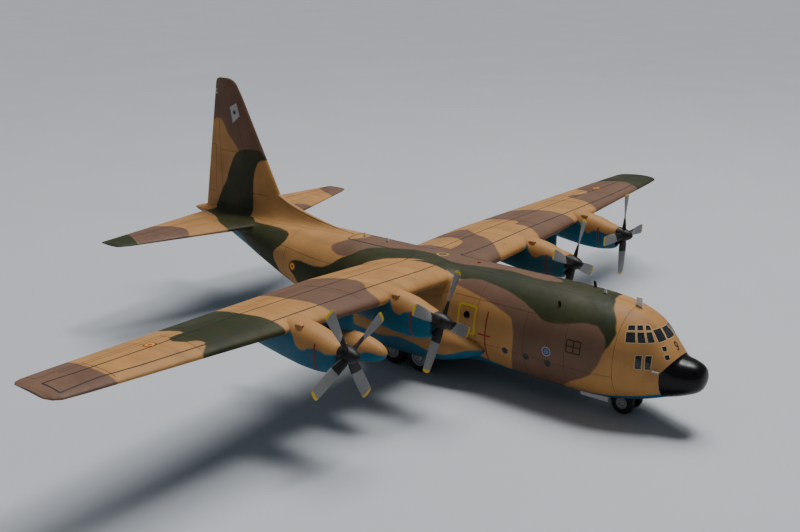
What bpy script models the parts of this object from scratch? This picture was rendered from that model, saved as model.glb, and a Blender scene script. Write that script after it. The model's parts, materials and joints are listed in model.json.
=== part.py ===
"""Military transport plane: a built plastic kit, four propellers, high wing, parked on its gear.

Lengths in the tables are metres on the full-size machine, x from the nose tip (aft is
negative), y to port, z up from the ground. Everything is brought to model size by K.
"""
import math

import bmesh
import bpy
import numpy as np
from mathutils import Vector

K = 1 / 72
NOSE_X = 14.895
GAP = 0.022
RUNNING = 0.007
SPAN_TIP_Y = 20.19
PROP_RADIUS = 2.10
MAIN_WHEEL_R = 0.71
NOSE_WHEEL_R = 0.495
MAIN_WHEELS_X = (-12.14, -13.66)
MAIN_WHEEL_Y = 2.17
NOSE_WHEELS_X = -3.20

# Fuselage outline: x, half width, top z, bottom z, widest z, roundness
FUSELAGE = (
    (0.00, 0.06, 2.29, 2.19, 2.24, 2.0),
    (-0.015, 0.19, 2.41, 2.08, 2.24, 2.0),
    (-0.05, 0.33, 2.54, 1.93, 2.24, 2.0),
    (-0.12, 0.46, 2.67, 1.78, 2.23, 2.0),
    (-0.28, 0.61, 2.78, 1.63, 2.22, 2.0),
    (-0.55, 0.75, 2.87, 1.49, 2.21, 2.0),
    (-1.03, 0.91, 2.98, 1.29, 2.23, 2.0),
    (-1.15, 0.95, 3.15, 1.25, 2.24, 2.0),
    (-1.41, 1.06, 3.47, 1.17, 2.28, 2.0),
    (-1.77, 1.25, 3.87, 1.04, 2.35, 2.05),
    (-2.20, 1.49, 4.22, 0.90, 2.45, 2.1),
    (-2.80, 1.75, 4.48, 0.75, 2.56, 2.1),
    (-3.60, 2.01, 4.66, 0.60, 2.64, 2.1),
    (-4.60, 2.13, 4.76, 0.53, 2.67, 2.1),
    (-6.00, 2.16, 4.81, 0.51, 2.68, 2.1),
    (-12.0, 2.16, 4.83, 0.51, 2.68, 2.1),
    (-17.4, 2.16, 4.83, 0.53, 2.68, 2.1),
    (-19.0, 2.13, 4.83, 1.05, 2.82, 2.1),
    (-21.0, 2.00, 4.83, 1.77, 3.18, 2.1),
    (-23.0, 1.74, 4.82, 2.48, 3.67, 2.1),
    (-25.0, 1.34, 4.81, 3.18, 4.10, 2.1),
    (-27.0, 0.89, 4.78, 3.80, 4.35, 2.1),
    (-28.5, 0.53, 4.72, 4.12, 4.45, 2.0),
    (-29.3, 0.33, 4.60, 4.24, 4.42, 2.0),
    (-29.79, 0.10, 4.44, 4.32, 4.38, 2.0),
)
STATIONS = (0.0, -0.015, -0.05, -0.12, -0.28, -0.55, -0.8, -1.03, -1.15, -1.41, -1.6, -1.8, -2.0, -2.2,
            -2.5, -2.8, -3.2, -3.6, -4.1, -4.6, -5.4, -6.6, -12.0, -17.0, -17.8, -18.8, -20.2, -21.6,
            -23.0, -24.4, -25.6, -26.6, -27.5, -28.3, -28.9, -29.3, -29.6, -29.79)
RADOME_JOINT = ((-1.46, 0.0), (-1.46, 2.41), (-1.04, 3.00), (-0.5, 3.76), (0.5, 3.76), (0.5, 0.0))
# Flight-deck windows cut across both sides: corners as x, z
SIDE_WINDOWS = (
    ((-2.88, 4.11), (-2.64, 4.11), (-2.55, 3.95), (-2.81, 3.94)),
    ((-2.57, 4.10), (-2.38, 4.09), (-2.30, 3.94), (-2.49, 3.94)),
    ((-2.33, 4.09), (-2.19, 4.06), (-2.06, 3.93), (-2.23, 3.93)),
    ((-2.86, 3.89), (-2.54, 3.90), (-2.42, 3.53), (-2.75, 3.53)),
    ((-2.47, 3.90), (-2.24, 3.90), (-2.09, 3.54), (-2.34, 3.54)),
    ((-2.18, 3.89), (-2.04, 3.89), (-1.82, 3.55), (-2.00, 3.53)),
    ((-1.62, 3.41), (-1.50, 3.41), (-1.40, 3.25), (-1.52, 3.24)),
    ((-1.44, 3.12), (-1.32, 3.13), (-1.23, 2.97), (-1.35, 2.95)),
    ((-2.29, 3.12), (-2.07, 3.12), (-2.02, 2.56), (-2.27, 2.56)),
    ((-1.98, 3.10), (-1.77, 3.10), (-1.74, 2.56), (-1.94, 2.56)),
)
# Windscreen panes cut from the front: corners as y, z
FRONT_WINDOWS = (
    ((-0.17, 3.92), (0.17, 3.92), (0.22, 3.63), (-0.22, 3.63)),
    ((-0.60, 3.92), (-0.26, 3.92), (-0.35, 3.61), (-0.72, 3.59)),
    ((0.26, 3.92), (0.60, 3.92), (0.72, 3.59), (0.35, 3.61)),
)

# Wing: y, leading edge x, trailing edge x, leading edge z, trailing edge z, thickness over chord
WING = (
    (1.30, -11.11, -15.98, 4.33, 4.09, 0.180),
    (5.59, -11.11, -15.98, 4.49, 4.27, 0.175),
    (12.0, -11.47, -15.25, 4.72, 4.60, 0.150),
    (18.9, -11.86, -14.47, 4.97, 4.94, 0.120),
    (19.8, -11.95, -14.36, 5.00, 4.98, 0.105),
    (20.19, -12.35, -14.05, 5.02, 5.01, 0.050),
)
TAILPLANE = (
    (0.40, -23.45, -28.36, 4.50, 4.50, 0.110),
    (4.00, -24.60, -27.84, 4.50, 4.50, 0.105),
    (7.40, -25.68, -27.34, 4.50, 4.50, 0.100),
    (7.90, -25.92, -27.28, 4.50, 4.50, 0.080),
    (8.03, -26.25, -27.15, 4.50, 4.50, 0.040),
)
# Fin: z, leading edge x, trailing edge x, half thickness
FIN = (
    (4.30, -22.20, -28.92, 0.62),
    (4.90, -22.50, -28.83, 0.50),
    (5.25, -22.70, -28.77, 0.35),
    (5.54, -22.85, -28.72, 0.31),
    (8.00, -24.17, -28.26, 0.23),
    (10.8, -25.68, -27.73, 0.13),
    (11.45, -26.10, -27.61, 0.10),
    (11.66, -26.60, -27.55, 0.05),
)
# Engines: name, y, propeller plane x, axis z, blade angle in degrees
ENGINES = (
    ("starboard_outer", -10.35, -8.99, 4.19, 62.2),
    ("starboard_inner", -5.08, -8.84, 3.97, 29.5),
    ("port_inner", 5.08, -8.84, 3.97, 24.5),
    ("port_outer", 10.31, -8.99, 4.19, 2.4),
)
# Nacelle: distance behind the propeller plane, half width, top and bottom from the axis
NACELLE = (
    (0.30, 0.37, 0.34, -0.62),
    (0.38, 0.44, 0.38, -0.74),
    (0.80, 0.54, 0.50, -0.87),
    (1.40, 0.63, 0.69, -0.93),
    (2.00, 0.66, 0.79, -0.92),
    (2.60, 0.65, 0.82, -0.86),
    (3.40, 0.58, 0.62, -0.76),
    (4.20, 0.48, 0.38, -0.66),
    (5.00, 0.36, 0.14, -0.55),
    (5.42, 0.29, 0.06, -0.47),
)
# Wheel-bay fairing: x, outer y, bottom z, top z
SPONSON = (
    (-8.90, 2.16, 1.66, 1.90),
    (-9.15, 2.34, 1.46, 2.08),
    (-9.80, 2.58, 1.16, 2.30),
    (-10.8, 2.78, 0.84, 2.48),
    (-12.2, 2.86, 0.64, 2.58),
    (-14.6, 2.86, 0.62, 2.58),
    (-16.0, 2.74, 0.72, 2.46),
    (-17.4, 2.50, 1.00, 2.22),
    (-18.4, 2.24, 1.35, 1.98),
    (-18.8, 2.05, 1.55, 1.80),
)
# Wing tanks: name, y, nose x, axis z. They sit a little differently on the two sides
TANKS = (
    ("starboard", -7.60, -9.58, 3.17),
    ("port", 7.60, -9.76, 3.09),
)
TANK_LENGTH, TANK_R = 7.40, 0.55


def collection(name):
    made = bpy.data.collections.new(name)
    bpy.context.scene.collection.children.link(made)
    return made


def material(name, colour, rough=0.5, metal=0.0):
    made = bpy.data.materials.new(name)
    made.use_nodes = True
    shader = made.node_tree.nodes["Principled BSDF"]
    shader.inputs["Base Color"].default_value = (*colour, 1)
    shader.inputs["Roughness"].default_value = rough
    shader.inputs["Metallic"].default_value = metal
    return made


def here(point):
    """Full-size coordinates to model coordinates."""
    return Vector(((point[0] + NOSE_X) * K, point[1] * K, point[2] * K))


def solid(name, points, faces, look, origin=(-NOSE_X, 0, 0), into=None):
    """One mesh object from full-size points, its origin at the given full-size point."""
    mesh = bpy.data.meshes.new(name)
    base = here(origin)
    mesh.from_pydata([tuple(here(p) - base) for p in points], [], faces)
    shape = bmesh.new()
    shape.from_mesh(mesh)
    bmesh.ops.remove_doubles(shape, verts=shape.verts, dist=0.000002)
    bmesh.ops.recalc_face_normals(shape, faces=shape.faces)
    shape.to_mesh(mesh)
    shape.free()
    obj = bpy.data.objects.new(name, mesh)
    obj.location = base
    (into or PARTS).objects.link(obj)
    if into is CUTTERS:
        obj.hide_render = True
        obj.display_type = "WIRE"
    else:
        mesh.materials.append(look)
    return obj


def cutter(name, points, faces):
    return solid(name, points, faces, None, into=CUTTERS)


def rings_mesh(rings):
    """Faces that join equal rings of points, with flat ends."""
    count = len(rings[0])
    points = [tuple(p) for ring in rings for p in ring]
    faces = []
    for i in range(len(rings) - 1):
        for j in range(count):
            k = (j + 1) % count
            faces.append((i * count + j, i * count + k, (i + 1) * count + k, (i + 1) * count + j))
    faces.append(tuple(range(count)))
    faces.append(tuple((len(rings) - 1) * count + j for j in range(count)))
    return points, faces


def grown(rings, by):
    """The same rings moved outwards along the surface normal."""
    grid = np.array(rings, float)
    along = np.gradient(grid, axis=0)
    around = np.roll(grid, -1, axis=1) - np.roll(grid, 1, axis=1)
    normal = np.cross(along, around)
    normal /= np.linalg.norm(normal, axis=2, keepdims=True) + 1e-12
    centre = grid.mean(axis=1, keepdims=True)
    side = np.sign(((grid - centre) * normal).sum(axis=2).mean())
    return grid + side * by * normal


def smooth(table, x, column):
    """Monotone cubic through the table's rows, first column as the key."""
    rows = np.array(sorted(table))
    xs, ys = rows[:, 0], rows[:, column]
    step, slope = np.diff(xs), np.diff(ys) / np.diff(xs)
    tangent = np.zeros(len(xs))
    tangent[0], tangent[-1] = slope[0], slope[-1]
    for i in range(1, len(xs) - 1):
        if slope[i - 1] * slope[i] > 0:
            a, b = 2 * step[i] + step[i - 1], step[i] + 2 * step[i - 1]
            tangent[i] = (a + b) / (a / slope[i - 1] + b / slope[i])
    i = int(np.clip(np.searchsorted(xs, x) - 1, 0, len(xs) - 2))
    t = (x - xs[i]) / step[i]
    return float((2 * t**3 - 3 * t**2 + 1) * ys[i] + (t**3 - 2 * t**2 + t) * step[i] * tangent[i]
                 + (3 * t**2 - 2 * t**3) * ys[i + 1] + (t**3 - t**2) * step[i] * tangent[i + 1])


def oval(x, y, half, top, bottom, middle, power, count):
    ring = []
    for i in range(count):
        a = 2 * math.pi * i / count
        c, s = math.cos(a), math.sin(a)
        reach = top - middle if s > 0 else middle - bottom
        ring.append((x, y + half * math.copysign(abs(c) ** (2 / power), c),
                     middle + reach * math.copysign(abs(s) ** (2 / power), s)))
    return ring


def box_data(low, high):
    xs, ys, zs = zip(low, high)
    points = [(x, y, z) for x in xs for y in ys for z in zs]
    faces = [(0, 1, 3, 2), (4, 6, 7, 5), (0, 4, 5, 1), (2, 3, 7, 6), (0, 2, 6, 4), (1, 5, 7, 3)]
    return points, faces


def prism_data(outline, axis, low, high):
    """A flat outline pushed along one axis. The outline holds the two other coordinates in order."""
    points = []
    for level in (low, high):
        for pair in outline:
            point = list(pair)
            point.insert(axis, level)
            points.append(tuple(point))
    count = len(outline)
    faces = [tuple(range(count)), tuple(range(count, 2 * count))]
    faces += [(i, (i + 1) % count, count + (i + 1) % count, count + i) for i in range(count)]
    return points, faces


def turned_data(profile, axis, centre, steps):
    """Profile rows (along the axis, radius) turned round an axis of x or y. Radius 0 makes a pole."""
    points, faces, rows = [], [], []
    for along, radius in profile:
        row = []
        for i in range(steps if radius > 0 else 1):
            a = 2 * math.pi * i / steps
            p = [radius * math.cos(a), radius * math.sin(a)]
            p.insert(axis, along)
            row.append(len(points))
            points.append(tuple(np.add(p, centre)))
        rows.append(row)
    for a, b in zip(rows, rows[1:]):
        for i in range(steps):
            k = (i + 1) % steps
            if len(a) == 1 and len(b) == 1:
                continue
            if len(a) == 1:
                faces.append((a[0], b[k], b[i]))
            elif len(b) == 1:
                faces.append((a[i], a[k], b[0]))
            else:
                faces.append((a[i], a[k], b[k], b[i]))
    return points, faces


def boolean(obj, other, operation="DIFFERENCE"):
    made = obj.modifiers.new(operation.lower() + "_" + other.name, "BOOLEAN")
    made.operation = operation
    made.solver = "EXACT"
    made.object = other


def fuselage_rings(x_front=0.0, x_back=-40.0):
    rings = []
    for x in STATIONS:
        if x_back <= x <= x_front:
            half, top, bottom, middle, power = (smooth(FUSELAGE, x, i) for i in range(1, 6))
            rings.append(oval(x, 0, half, top, bottom, middle, power, 40))
    return rings


def aerofoil(chord_from, chord_to, thickness, camber=0.0):
    """Ring of (along, up) pairs, nose first along the top, between two points of a section."""
    shares = (0.0, 0.012, 0.05, 0.12, 0.25, 0.42, 0.62, 0.82, 1.0)
    (x0, z0), (x1, z1) = chord_from, chord_to
    chord = abs(x1 - x0)
    upper, lower = [], []
    for s in shares:
        half = 5 * thickness * (0.2969 * s**0.5 - 0.126 * s - 0.3516 * s**2 + 0.2843 * s**3 - 0.1015 * s**4)
        half += 0.0022 * s
        mid = 4 * camber * s * (1 - s)
        x, z = x0 + (x1 - x0) * s, z0 + (z1 - z0) * s
        upper.append((x, z + (mid + half) * chord))
        lower.append((x, z + (mid - half) * chord))
    return upper + lower[:0:-1]


def surface_rings(table, side, camber):
    return [[(x, side * y, z) for x, z in aerofoil((le, zl), (te, zt), thick, camber)]
            for y, le, te, zl, zt, thick in table]


def make_fuselage():
    """Skin with the flight deck hollowed, its windows cut, and the rear ramp and door let in."""
    body = solid("fuselage", *rings_mesh(fuselage_rings()), PAINT_SAND)
    boolean(body, cutter("radome_zone", *prism_data(RADOME_JOINT, 1, -3, 3)))
    cavity = deck_space("cockpit_cavity", -0.11, ((-1.56, 2.45), (-1.17, 3.00), (-1.17, 5.5), (-4.25, 5.5),
                                                  (-4.25, 2.45)))
    boolean(body, cavity)
    for i, corners in enumerate(SIDE_WINDOWS):
        boolean(body, cutter(f"side_window_{i}", *prism_data(corners, 1, -3, 3)))
    for i, corners in enumerate(FRONT_WINDOWS):
        boolean(body, cutter(f"front_window_{i}", *prism_data(corners, 0, -2.3, -0.5)))
    for name, outline in (("cargo_ramp", ((-17.70, -0.5), (-17.70, 0.80), (-21.00, 1.98), (-21.00, -0.5))),
                          ("cargo_door", ((-21.05, -0.5), (-21.05, 2.00), (-24.40, 3.20), (-24.40, -0.5)))):
        plate = solid(name, *rings_mesh(fuselage_rings(-17.0, -25.6)), PAINT_BLUE)
        boolean(plate, cutter(name + "_zone", *prism_data(outline, 1, -1.40, 1.40)), "INTERSECT")
        middle = (sum(x for x, z in outline) / 4, 0.9)
        wide = [(x + math.copysign(GAP, x - middle[0]), z + (GAP if z > 0 else 0)) for x, z in outline]
        boolean(body, cutter(name + "_space", *prism_data(wide, 1, -1.40 - GAP, 1.40 + GAP)))


def deck_space(name, depth, outline):
    """The room inside the flight deck's skin, this deep under it, within an outline of x, z."""
    space = cutter(name, *rings_mesh(grown(fuselage_rings(-1.03, -4.7), depth)))
    boolean(space, cutter(name + "_zone", *prism_data(outline, 1, -3, 3)), "INTERSECT")
    return space


def make_radome():
    cap = solid("radome", *rings_mesh(fuselage_rings()), PAINT_BLACK)
    keep = [(x + GAP if x < -1 else x, z) for x, z in RADOME_JOINT]
    boolean(cap, cutter("radome_keep", *prism_data(keep, 1, -3, 3)), "INTERSECT")


def make_flight_deck():
    """Clear insert against the skin, and the floor, panel, seats and bulkhead behind it."""
    rings = grown(fuselage_rings(-1.03, -4.7), -0.11 - GAP)
    clear = solid("cockpit_glazing", *rings_mesh(rings), CLEAR)
    boolean(clear, cutter("glazing_zone", *prism_data(
        ((-1.60, 2.50), (-1.19, 3.06), (-1.19, 5.5), (-3.05, 5.5), (-3.05, 2.50)), 1, -3, 3)), "INTERSECT")
    boolean(clear, cutter("glazing_inside", *rings_mesh(grown(fuselage_rings(-1.03, -4.7), -0.18))))
    floor = solid("cockpit_interior", *box_data((-4.20, -1.9, 2.47), (-1.85, 1.9, 2.56)), INTERIOR)
    boxes = (
        ((-4.20, -1.9, 2.50), (-4.10, 1.9, 4.45)),
        ((-2.08, -0.66, 2.50), (-1.90, 0.66, 3.42)),
        ((-2.75, -0.17, 2.50), (-2.00, 0.17, 2.98)),
        ((-3.25, -0.86, 2.50), (-2.72, -0.36, 2.98)),
        ((-3.25, 0.36, 2.50), (-2.72, 0.86, 2.98)),
        ((-3.35, -0.84, 2.80), (-3.20, -0.38, 3.80)),
        ((-3.35, 0.38, 2.80), (-3.20, 0.84, 3.80)),
    )
    for i, (low, high) in enumerate(boxes):
        boolean(floor, cutter(f"interior_{i}", *box_data(low, high)), "UNION")
    outline = ((-1.62, 2.40), (-1.62, 5.5), (-4.22, 5.5), (-4.22, 2.40))
    boolean(floor, deck_space("interior_space", -0.205, outline), "INTERSECT")


def make_wings():
    for name, side in (("starboard", -1), ("port", 1)):
        wing = solid("wing_" + name, *rings_mesh(surface_rings(WING, side, 0.018)), PAINT_SAND)
        boolean(wing, FUSELAGE_TRIM)


def make_tail():
    for name, side in (("starboard", -1), ("port", 1)):
        plane = solid("tailplane_" + name, *rings_mesh(surface_rings(TAILPLANE, side, 0.0)), PAINT_SAND)
        boolean(plane, FUSELAGE_TRIM)
        boolean(plane, FIN_TRIM)
    fin = solid("fin", *rings_mesh(fin_rings()), PAINT_SAND)
    boolean(fin, FUSELAGE_TRIM)
    # Dorsal fillet: x, ridge z, half width at the ridge, half width at the roof
    rows = ((-18.10, 4.87, 0.04, 0.36), (-18.90, 4.92, 0.05, 0.42), (-20.66, 5.21, 0.08, 0.50),
            (-21.70, 5.45, 0.10, 0.54), (-22.50, 5.62, 0.11, 0.56), (-23.30, 6.05, 0.11, 0.58))
    rings = []
    for x, top, ridge, foot in rows:
        rise, reach = top - 4.78, foot - ridge
        half = [(foot, 4.55), (foot, 4.78), (ridge + 0.55 * reach, 4.78 + 0.22 * rise),
                (ridge + 0.25 * reach, 4.78 + 0.55 * rise), (ridge, top - min(0.06, 0.2 * rise)),
                (ridge / 2, top)]
        rings.append([(x, -y, z) for y, z in half] + [(x, y, z) for y, z in half[::-1]])
    plate = solid("dorsal_fin", *rings_mesh(rings), PAINT_SAND)
    boolean(plate, FIN_TRIM)
    boolean(plate, FUSELAGE_TRIM)


def fin_rings():
    rings = []
    for z, le, te, half in FIN:
        section = aerofoil((le, 0), (te, 0), 2 * half / (le - te))
        rings.append([(x, y, z) for x, y in section])
    return rings


def make_nacelles():
    for name, y, plane_x, axis_z, angle in ENGINES:
        rings = []
        for back, half, top, low in NACELLE:
            middle = axis_z + (top + low) * 0.35
            rings.append(oval(plane_x - back, y, half, axis_z + top, axis_z + low, middle, 2.3, 24))
        body = solid("nacelle_" + name, *rings_mesh(rings), PAINT_BLUE)
        boolean(body, WING_TRIM)
        mouth = oval(plane_x - 0.2, y, 0.30, axis_z - 0.36, axis_z - 0.60, axis_z - 0.46, 2.4, 16)
        deep = [(plane_x - 0.95, py, pz) for _, py, pz in mouth]
        boolean(body, cutter("intake_" + name, *rings_mesh([mouth, deep])))
        side = ((-1.93, 0.55), (-1.93, 0.79), (-2.04, 0.82), (-2.25, 0.70), (-2.25, 0.55))
        scoop = [(plane_x + x, axis_z + z) for x, z in side]
        boolean(body, cutter("scoop_" + name, *prism_data(scoop, 1, y - 0.44, y - 0.29)), "UNION")
        shaft = [(0.10, 0), (0.10, 0.10), (-0.60, 0.10), (-0.60, 0)]
        boolean(body, cutter("shaft_" + name, *turned_data(shaft, 0, (plane_x, y, axis_z), 16)), "UNION")
        pipe = [(-5.44, 0), (-5.44, 0.24), (-5.95, 0.25), (-5.95, 0.21), (-5.62, 0.20), (-5.62, 0)]
        solid("exhaust_" + name, *turned_data(pipe, 0, (plane_x, y, axis_z - 0.21), 18), BURNT)
        make_propeller(name, y, plane_x, axis_z, angle)


def make_propeller(name, y, plane_x, axis_z, angle):
    centre = (plane_x, y, axis_z)
    bore = 0.10 + RUNNING
    dome = [(0.50, 0), (0.47, 0.09), (0.37, 0.18), (0.20, 0.27), (-0.05, 0.34), (-0.27, 0.36),
            (-0.27, bore), (0.12, bore), (0.12, 0)]
    body = solid("propeller_" + name, *turned_data(dome, 0, centre, 24), PAINT_BLACK, origin=centre)
    blades_points, blades_faces = [], []
    # Blade: radius, chord, thickness, pitch in degrees
    rows = ((0.26, 0.30, 0.20, 46), (0.45, 0.36, 0.17, 40), (0.72, 0.41, 0.12, 31), (0.90, 0.43, 0.08, 26),
            (1.25, 0.47, 0.055, 15), (1.60, 0.49, 0.04, 8), (1.95, 0.49, 0.03, 3), (2.06, 0.45, 0.024, 2),
            (PROP_RADIUS, 0.37, 0.016, 2))
    for k in range(4):
        a = math.radians(angle + 90 * k)
        out = np.array((0, -math.cos(a), math.sin(a)))
        around = np.array((0, math.sin(a), math.cos(a)))
        rings = []
        for radius, chord, thick, pitch in rows:
            p = math.radians(pitch)
            wide = around * math.cos(p) - np.array((math.sin(p), 0, 0))
            deep = np.array((math.cos(p), 0, 0)) + around * math.sin(p)
            rings.append([tuple(np.array(centre) + out * radius + wide * chord / 2 * math.cos(t)
                                + deep * thick / 2 * math.sin(t))
                          for t in (2 * math.pi * i / 10 for i in range(10))])
        points, faces = rings_mesh(rings)
        base = len(blades_points)
        blades_points += points
        blades_faces += [tuple(base + i for i in face) for face in faces]
    boolean(body, cutter("blades_" + name, blades_points, blades_faces), "UNION")


def make_tanks():
    shares = ((0, 0), (0.008, 0.26), (0.03, 0.50), (0.08, 0.76), (0.15, 0.94), (0.24, 1.0), (0.58, 1.0),
              (0.72, 0.90), (0.84, 0.68), (0.94, 0.36), (0.985, 0.13), (1, 0))
    for name, y, nose_x, z in TANKS:
        profile = [(nose_x - TANK_LENGTH * s, TANK_R * r) for s, r in shares]
        solid("tank_" + name, *turned_data(profile, 0, (0, y, z), 24), PAINT_BLUE)
        foot = [(-11.3, 0.10), (-11.6, 0.14), (-13.9, 0.14), (-14.8, 0.05)]
        outline = [(x, y + half) for x, half in foot] + [(x, y - half) for x, half in foot[::-1]]
        pylon = solid("pylon_" + name, *prism_data(outline, 2, z + 0.2, 4.45), PAINT_BLUE)
        boolean(pylon, WING_TRIM)
        grown_tank = [(a, r + GAP if r else 0) for a, r in profile]
        boolean(pylon, cutter("tank_trim_" + name, *turned_data(grown_tank, 0, (0, y, z), 24)))


def make_main_gear():
    for name, side in (("starboard", -1), ("port", 1)):
        rings = []
        for x, outer, low, high in SPONSON:
            rings.append(oval(x, side * 1.55, outer - 1.55, high, low, (low + high) / 2, 2.5, 28))
        bay = solid("sponson_" + name, *rings_mesh(rings), PAINT_SAND)
        boolean(bay, FUSELAGE_TRIM)
        ys = sorted((side * 1.2, side * 2.62))
        boolean(bay, cutter("wheel_well_" + name, *box_data((-14.55, ys[0], -0.5), (-11.25, ys[1], 1.62))))
        make_main_leg(name, side)
        for place, x in zip(("front", "rear"), MAIN_WHEELS_X):
            make_main_wheel(f"main_wheel_{name}_{place}", x, side)


def make_main_leg(name, side):
    """Two upright oil legs on one beam, each with its axle."""
    ys, wide = sorted((side * 1.68, side * 1.86)), sorted((side * 1.68, side * 2.10))
    beam = solid("main_gear_leg_" + name, *box_data((-13.80, wide[0], 1.46), (-12.00, wide[1], 1.60)), STEEL)
    for i, x in enumerate(MAIN_WHEELS_X):
        boolean(beam, cutter(f"leg_{name}_{i}", *box_data((x - 0.08, ys[0], MAIN_WHEEL_R - 0.10),
                                                          (x + 0.08, ys[1], 1.50))), "UNION")
        axle = [(side * 1.75, 0), (side * 1.75, 0.09), (side * 2.22, 0.09), (side * 2.22, 0)]
        boolean(beam, cutter(f"axle_{name}_{i}", *turned_data(axle, 1, (x, 0, MAIN_WHEEL_R), 16)), "UNION")
    boolean(beam, FUSELAGE_TRIM)


def tyre_profile(inner, outer, radius, rim, bore, blind):
    """Closed profile of a wheel with a hole for its axle, from the inner face to the outer face."""
    mid, half = (inner + outer) / 2, (outer - inner) / 2
    rows = [(blind, 0), (blind, bore), (inner + 0.06 * half, bore), (inner + 0.06 * half, rim * 0.55),
            (inner + 0.35 * half, rim * 0.62), (inner + 0.30 * half, rim), (inner, rim + 0.06),
            (inner + 0.10 * half, radius - 0.12), (inner + 0.50 * half, radius - 0.02), (mid, radius),
            (outer - 0.50 * half, radius - 0.02), (outer - 0.10 * half, radius - 0.12), (outer, rim + 0.06),
            (outer - 0.30 * half, rim), (outer - 0.45 * half, rim * 0.62), (outer - 0.15 * half, rim * 0.40),
            (outer - 0.15 * half, 0)]
    return rows


def make_main_wheel(name, x, side):
    inner, outer = side * (MAIN_WHEEL_Y - 0.25), side * (MAIN_WHEEL_Y + 0.25)
    profile = tyre_profile(inner, outer, MAIN_WHEEL_R, 0.36, 0.09 + RUNNING, side * (2.22 + GAP))
    solid(name, *turned_data(profile, 1, (x, 0, MAIN_WHEEL_R), 26), RUBBER,
          origin=(x, side * MAIN_WHEEL_Y, MAIN_WHEEL_R))


def make_nose_gear():
    centre = (NOSE_WHEELS_X, 0, NOSE_WHEEL_R)
    rows = [(-0.47, 0), (-0.47, 0.13), (-0.51, 0.24), (-0.54, 0.30), (-0.53, 0.40), (-0.45, 0.48),
            (-0.385, 0.495), (-0.32, 0.48), (-0.23, 0.40), (-0.22, 0.30), (-0.25, 0.14), (-0.21, 0.07)]
    profile = rows + [(-a, r) for a, r in rows[::-1]]
    solid("nose_wheels", *turned_data(profile, 1, centre, 26), RUBBER, origin=centre)
    hub = [(-0.14, 0), (-0.14, 0.15), (0.14, 0.15), (0.14, 0)]
    leg = solid("nose_gear_leg", *turned_data(hub, 1, centre, 20), STEEL)
    boolean(leg, cutter("nose_leg_post", *box_data((NOSE_WHEELS_X - 0.07, -0.08, 0.58),
                                                   (NOSE_WHEELS_X + 0.07, 0.08, 1.30))), "UNION")
    eye = [(-0.3, 0), (-0.3, 0.07 + RUNNING), (0.3, 0.07 + RUNNING), (0.3, 0)]
    boolean(leg, cutter("nose_leg_eye", *turned_data(eye, 1, centre, 20)))
    tray = solid("nose_gear_door", *box_data((-5.02, -0.60, 0.40), (-3.76, 0.60, 0.45)), PAINT_WHITE)
    walls = (
        ((-5.02, -0.60, 0.42), (-3.76, -0.54, 0.68)),
        ((-5.02, 0.54, 0.42), (-3.76, 0.60, 0.68)),
        ((-5.02, -0.60, 0.42), (-4.94, 0.60, 0.68)),
        ((-3.84, -0.60, 0.42), (-3.76, 0.60, 0.60)),
    )
    for i, (low, high) in enumerate(walls):
        boolean(tray, cutter(f"door_wall_{i}", *box_data(low, high)), "UNION")
    boolean(tray, FUSELAGE_TRIM)
    well = cutter("nose_well", *box_data((-3.80, -0.62, -0.5), (-2.45, 0.62, 1.322)))
    boolean(bpy.data.objects["fuselage"], well)


def make_small_fittings():
    """Blade antennas, probes and the beacon, each set on the skin."""
    # Name, x, y, z of the foot, length, height, backward lean, thickness
    blades = (
        ("antenna_white_nose", -2.81, 0.0, 4.42, 0.32, 0.50, 0.06, 0.06, PAINT_WHITE),
        ("antenna_white_roof", -4.40, 0.0, 4.70, 0.14, 0.27, 0.03, 0.05, PAINT_WHITE),
        ("antenna_white_mid", -15.86, 0.0, 4.78, 0.15, 0.26, 0.02, 0.05, PAINT_WHITE),
        ("antenna_white_rear", -17.28, 0.0, 4.78, 0.15, 0.26, 0.02, 0.05, PAINT_WHITE),
        ("antenna_black_port", -5.08, 0.45, 4.64, 0.12, 0.36, 0.10, 0.05, PAINT_BLACK),
        ("antenna_black_starboard", -5.62, -1.41, 4.12, 0.12, 0.40, 0.10, 0.05, PAINT_BLACK),
    )
    for name, x, y, z, length, height, lean, thick, look in blades:
        high = z + height
        outline = [(x, z), (x - lean * 0.5 - 0.04, high), (x - length * 0.7 - lean, high), (x - length, z)]
        blade = solid(name, *prism_data(outline, 1, y - thick / 2, y + thick / 2), look)
        boolean(blade, FUSELAGE_TRIM)
    for name, side in (("starboard", -1), ("port", 1)):
        arm = sorted((side * 0.95, side * 1.30))
        tube = solid("pitot_" + name, *box_data((-1.68, arm[0], 2.50), (-1.61, arm[1], 2.57)), PAINT_SAND)
        tip = sorted((side * 1.24, side * 1.30))
        head = box_data((-1.66, tip[0], 2.505), (-1.40, tip[1], 2.565))
        boolean(tube, cutter("pitot_head_" + name, *head), "UNION")
        boolean(tube, FUSELAGE_TRIM)
    dome = [(4.90, 0), (4.89, 0.05), (4.83, 0.09), (4.70, 0.09), (4.70, 0)]
    points, faces = turned_data([(z, r) for z, r in dome], 1, (0, 0, 0), 14)
    beacon = solid("beacon", [(-10.67 + x, z, y) for x, y, z in points], faces, BEACON)
    boolean(beacon, FUSELAGE_TRIM)


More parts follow.
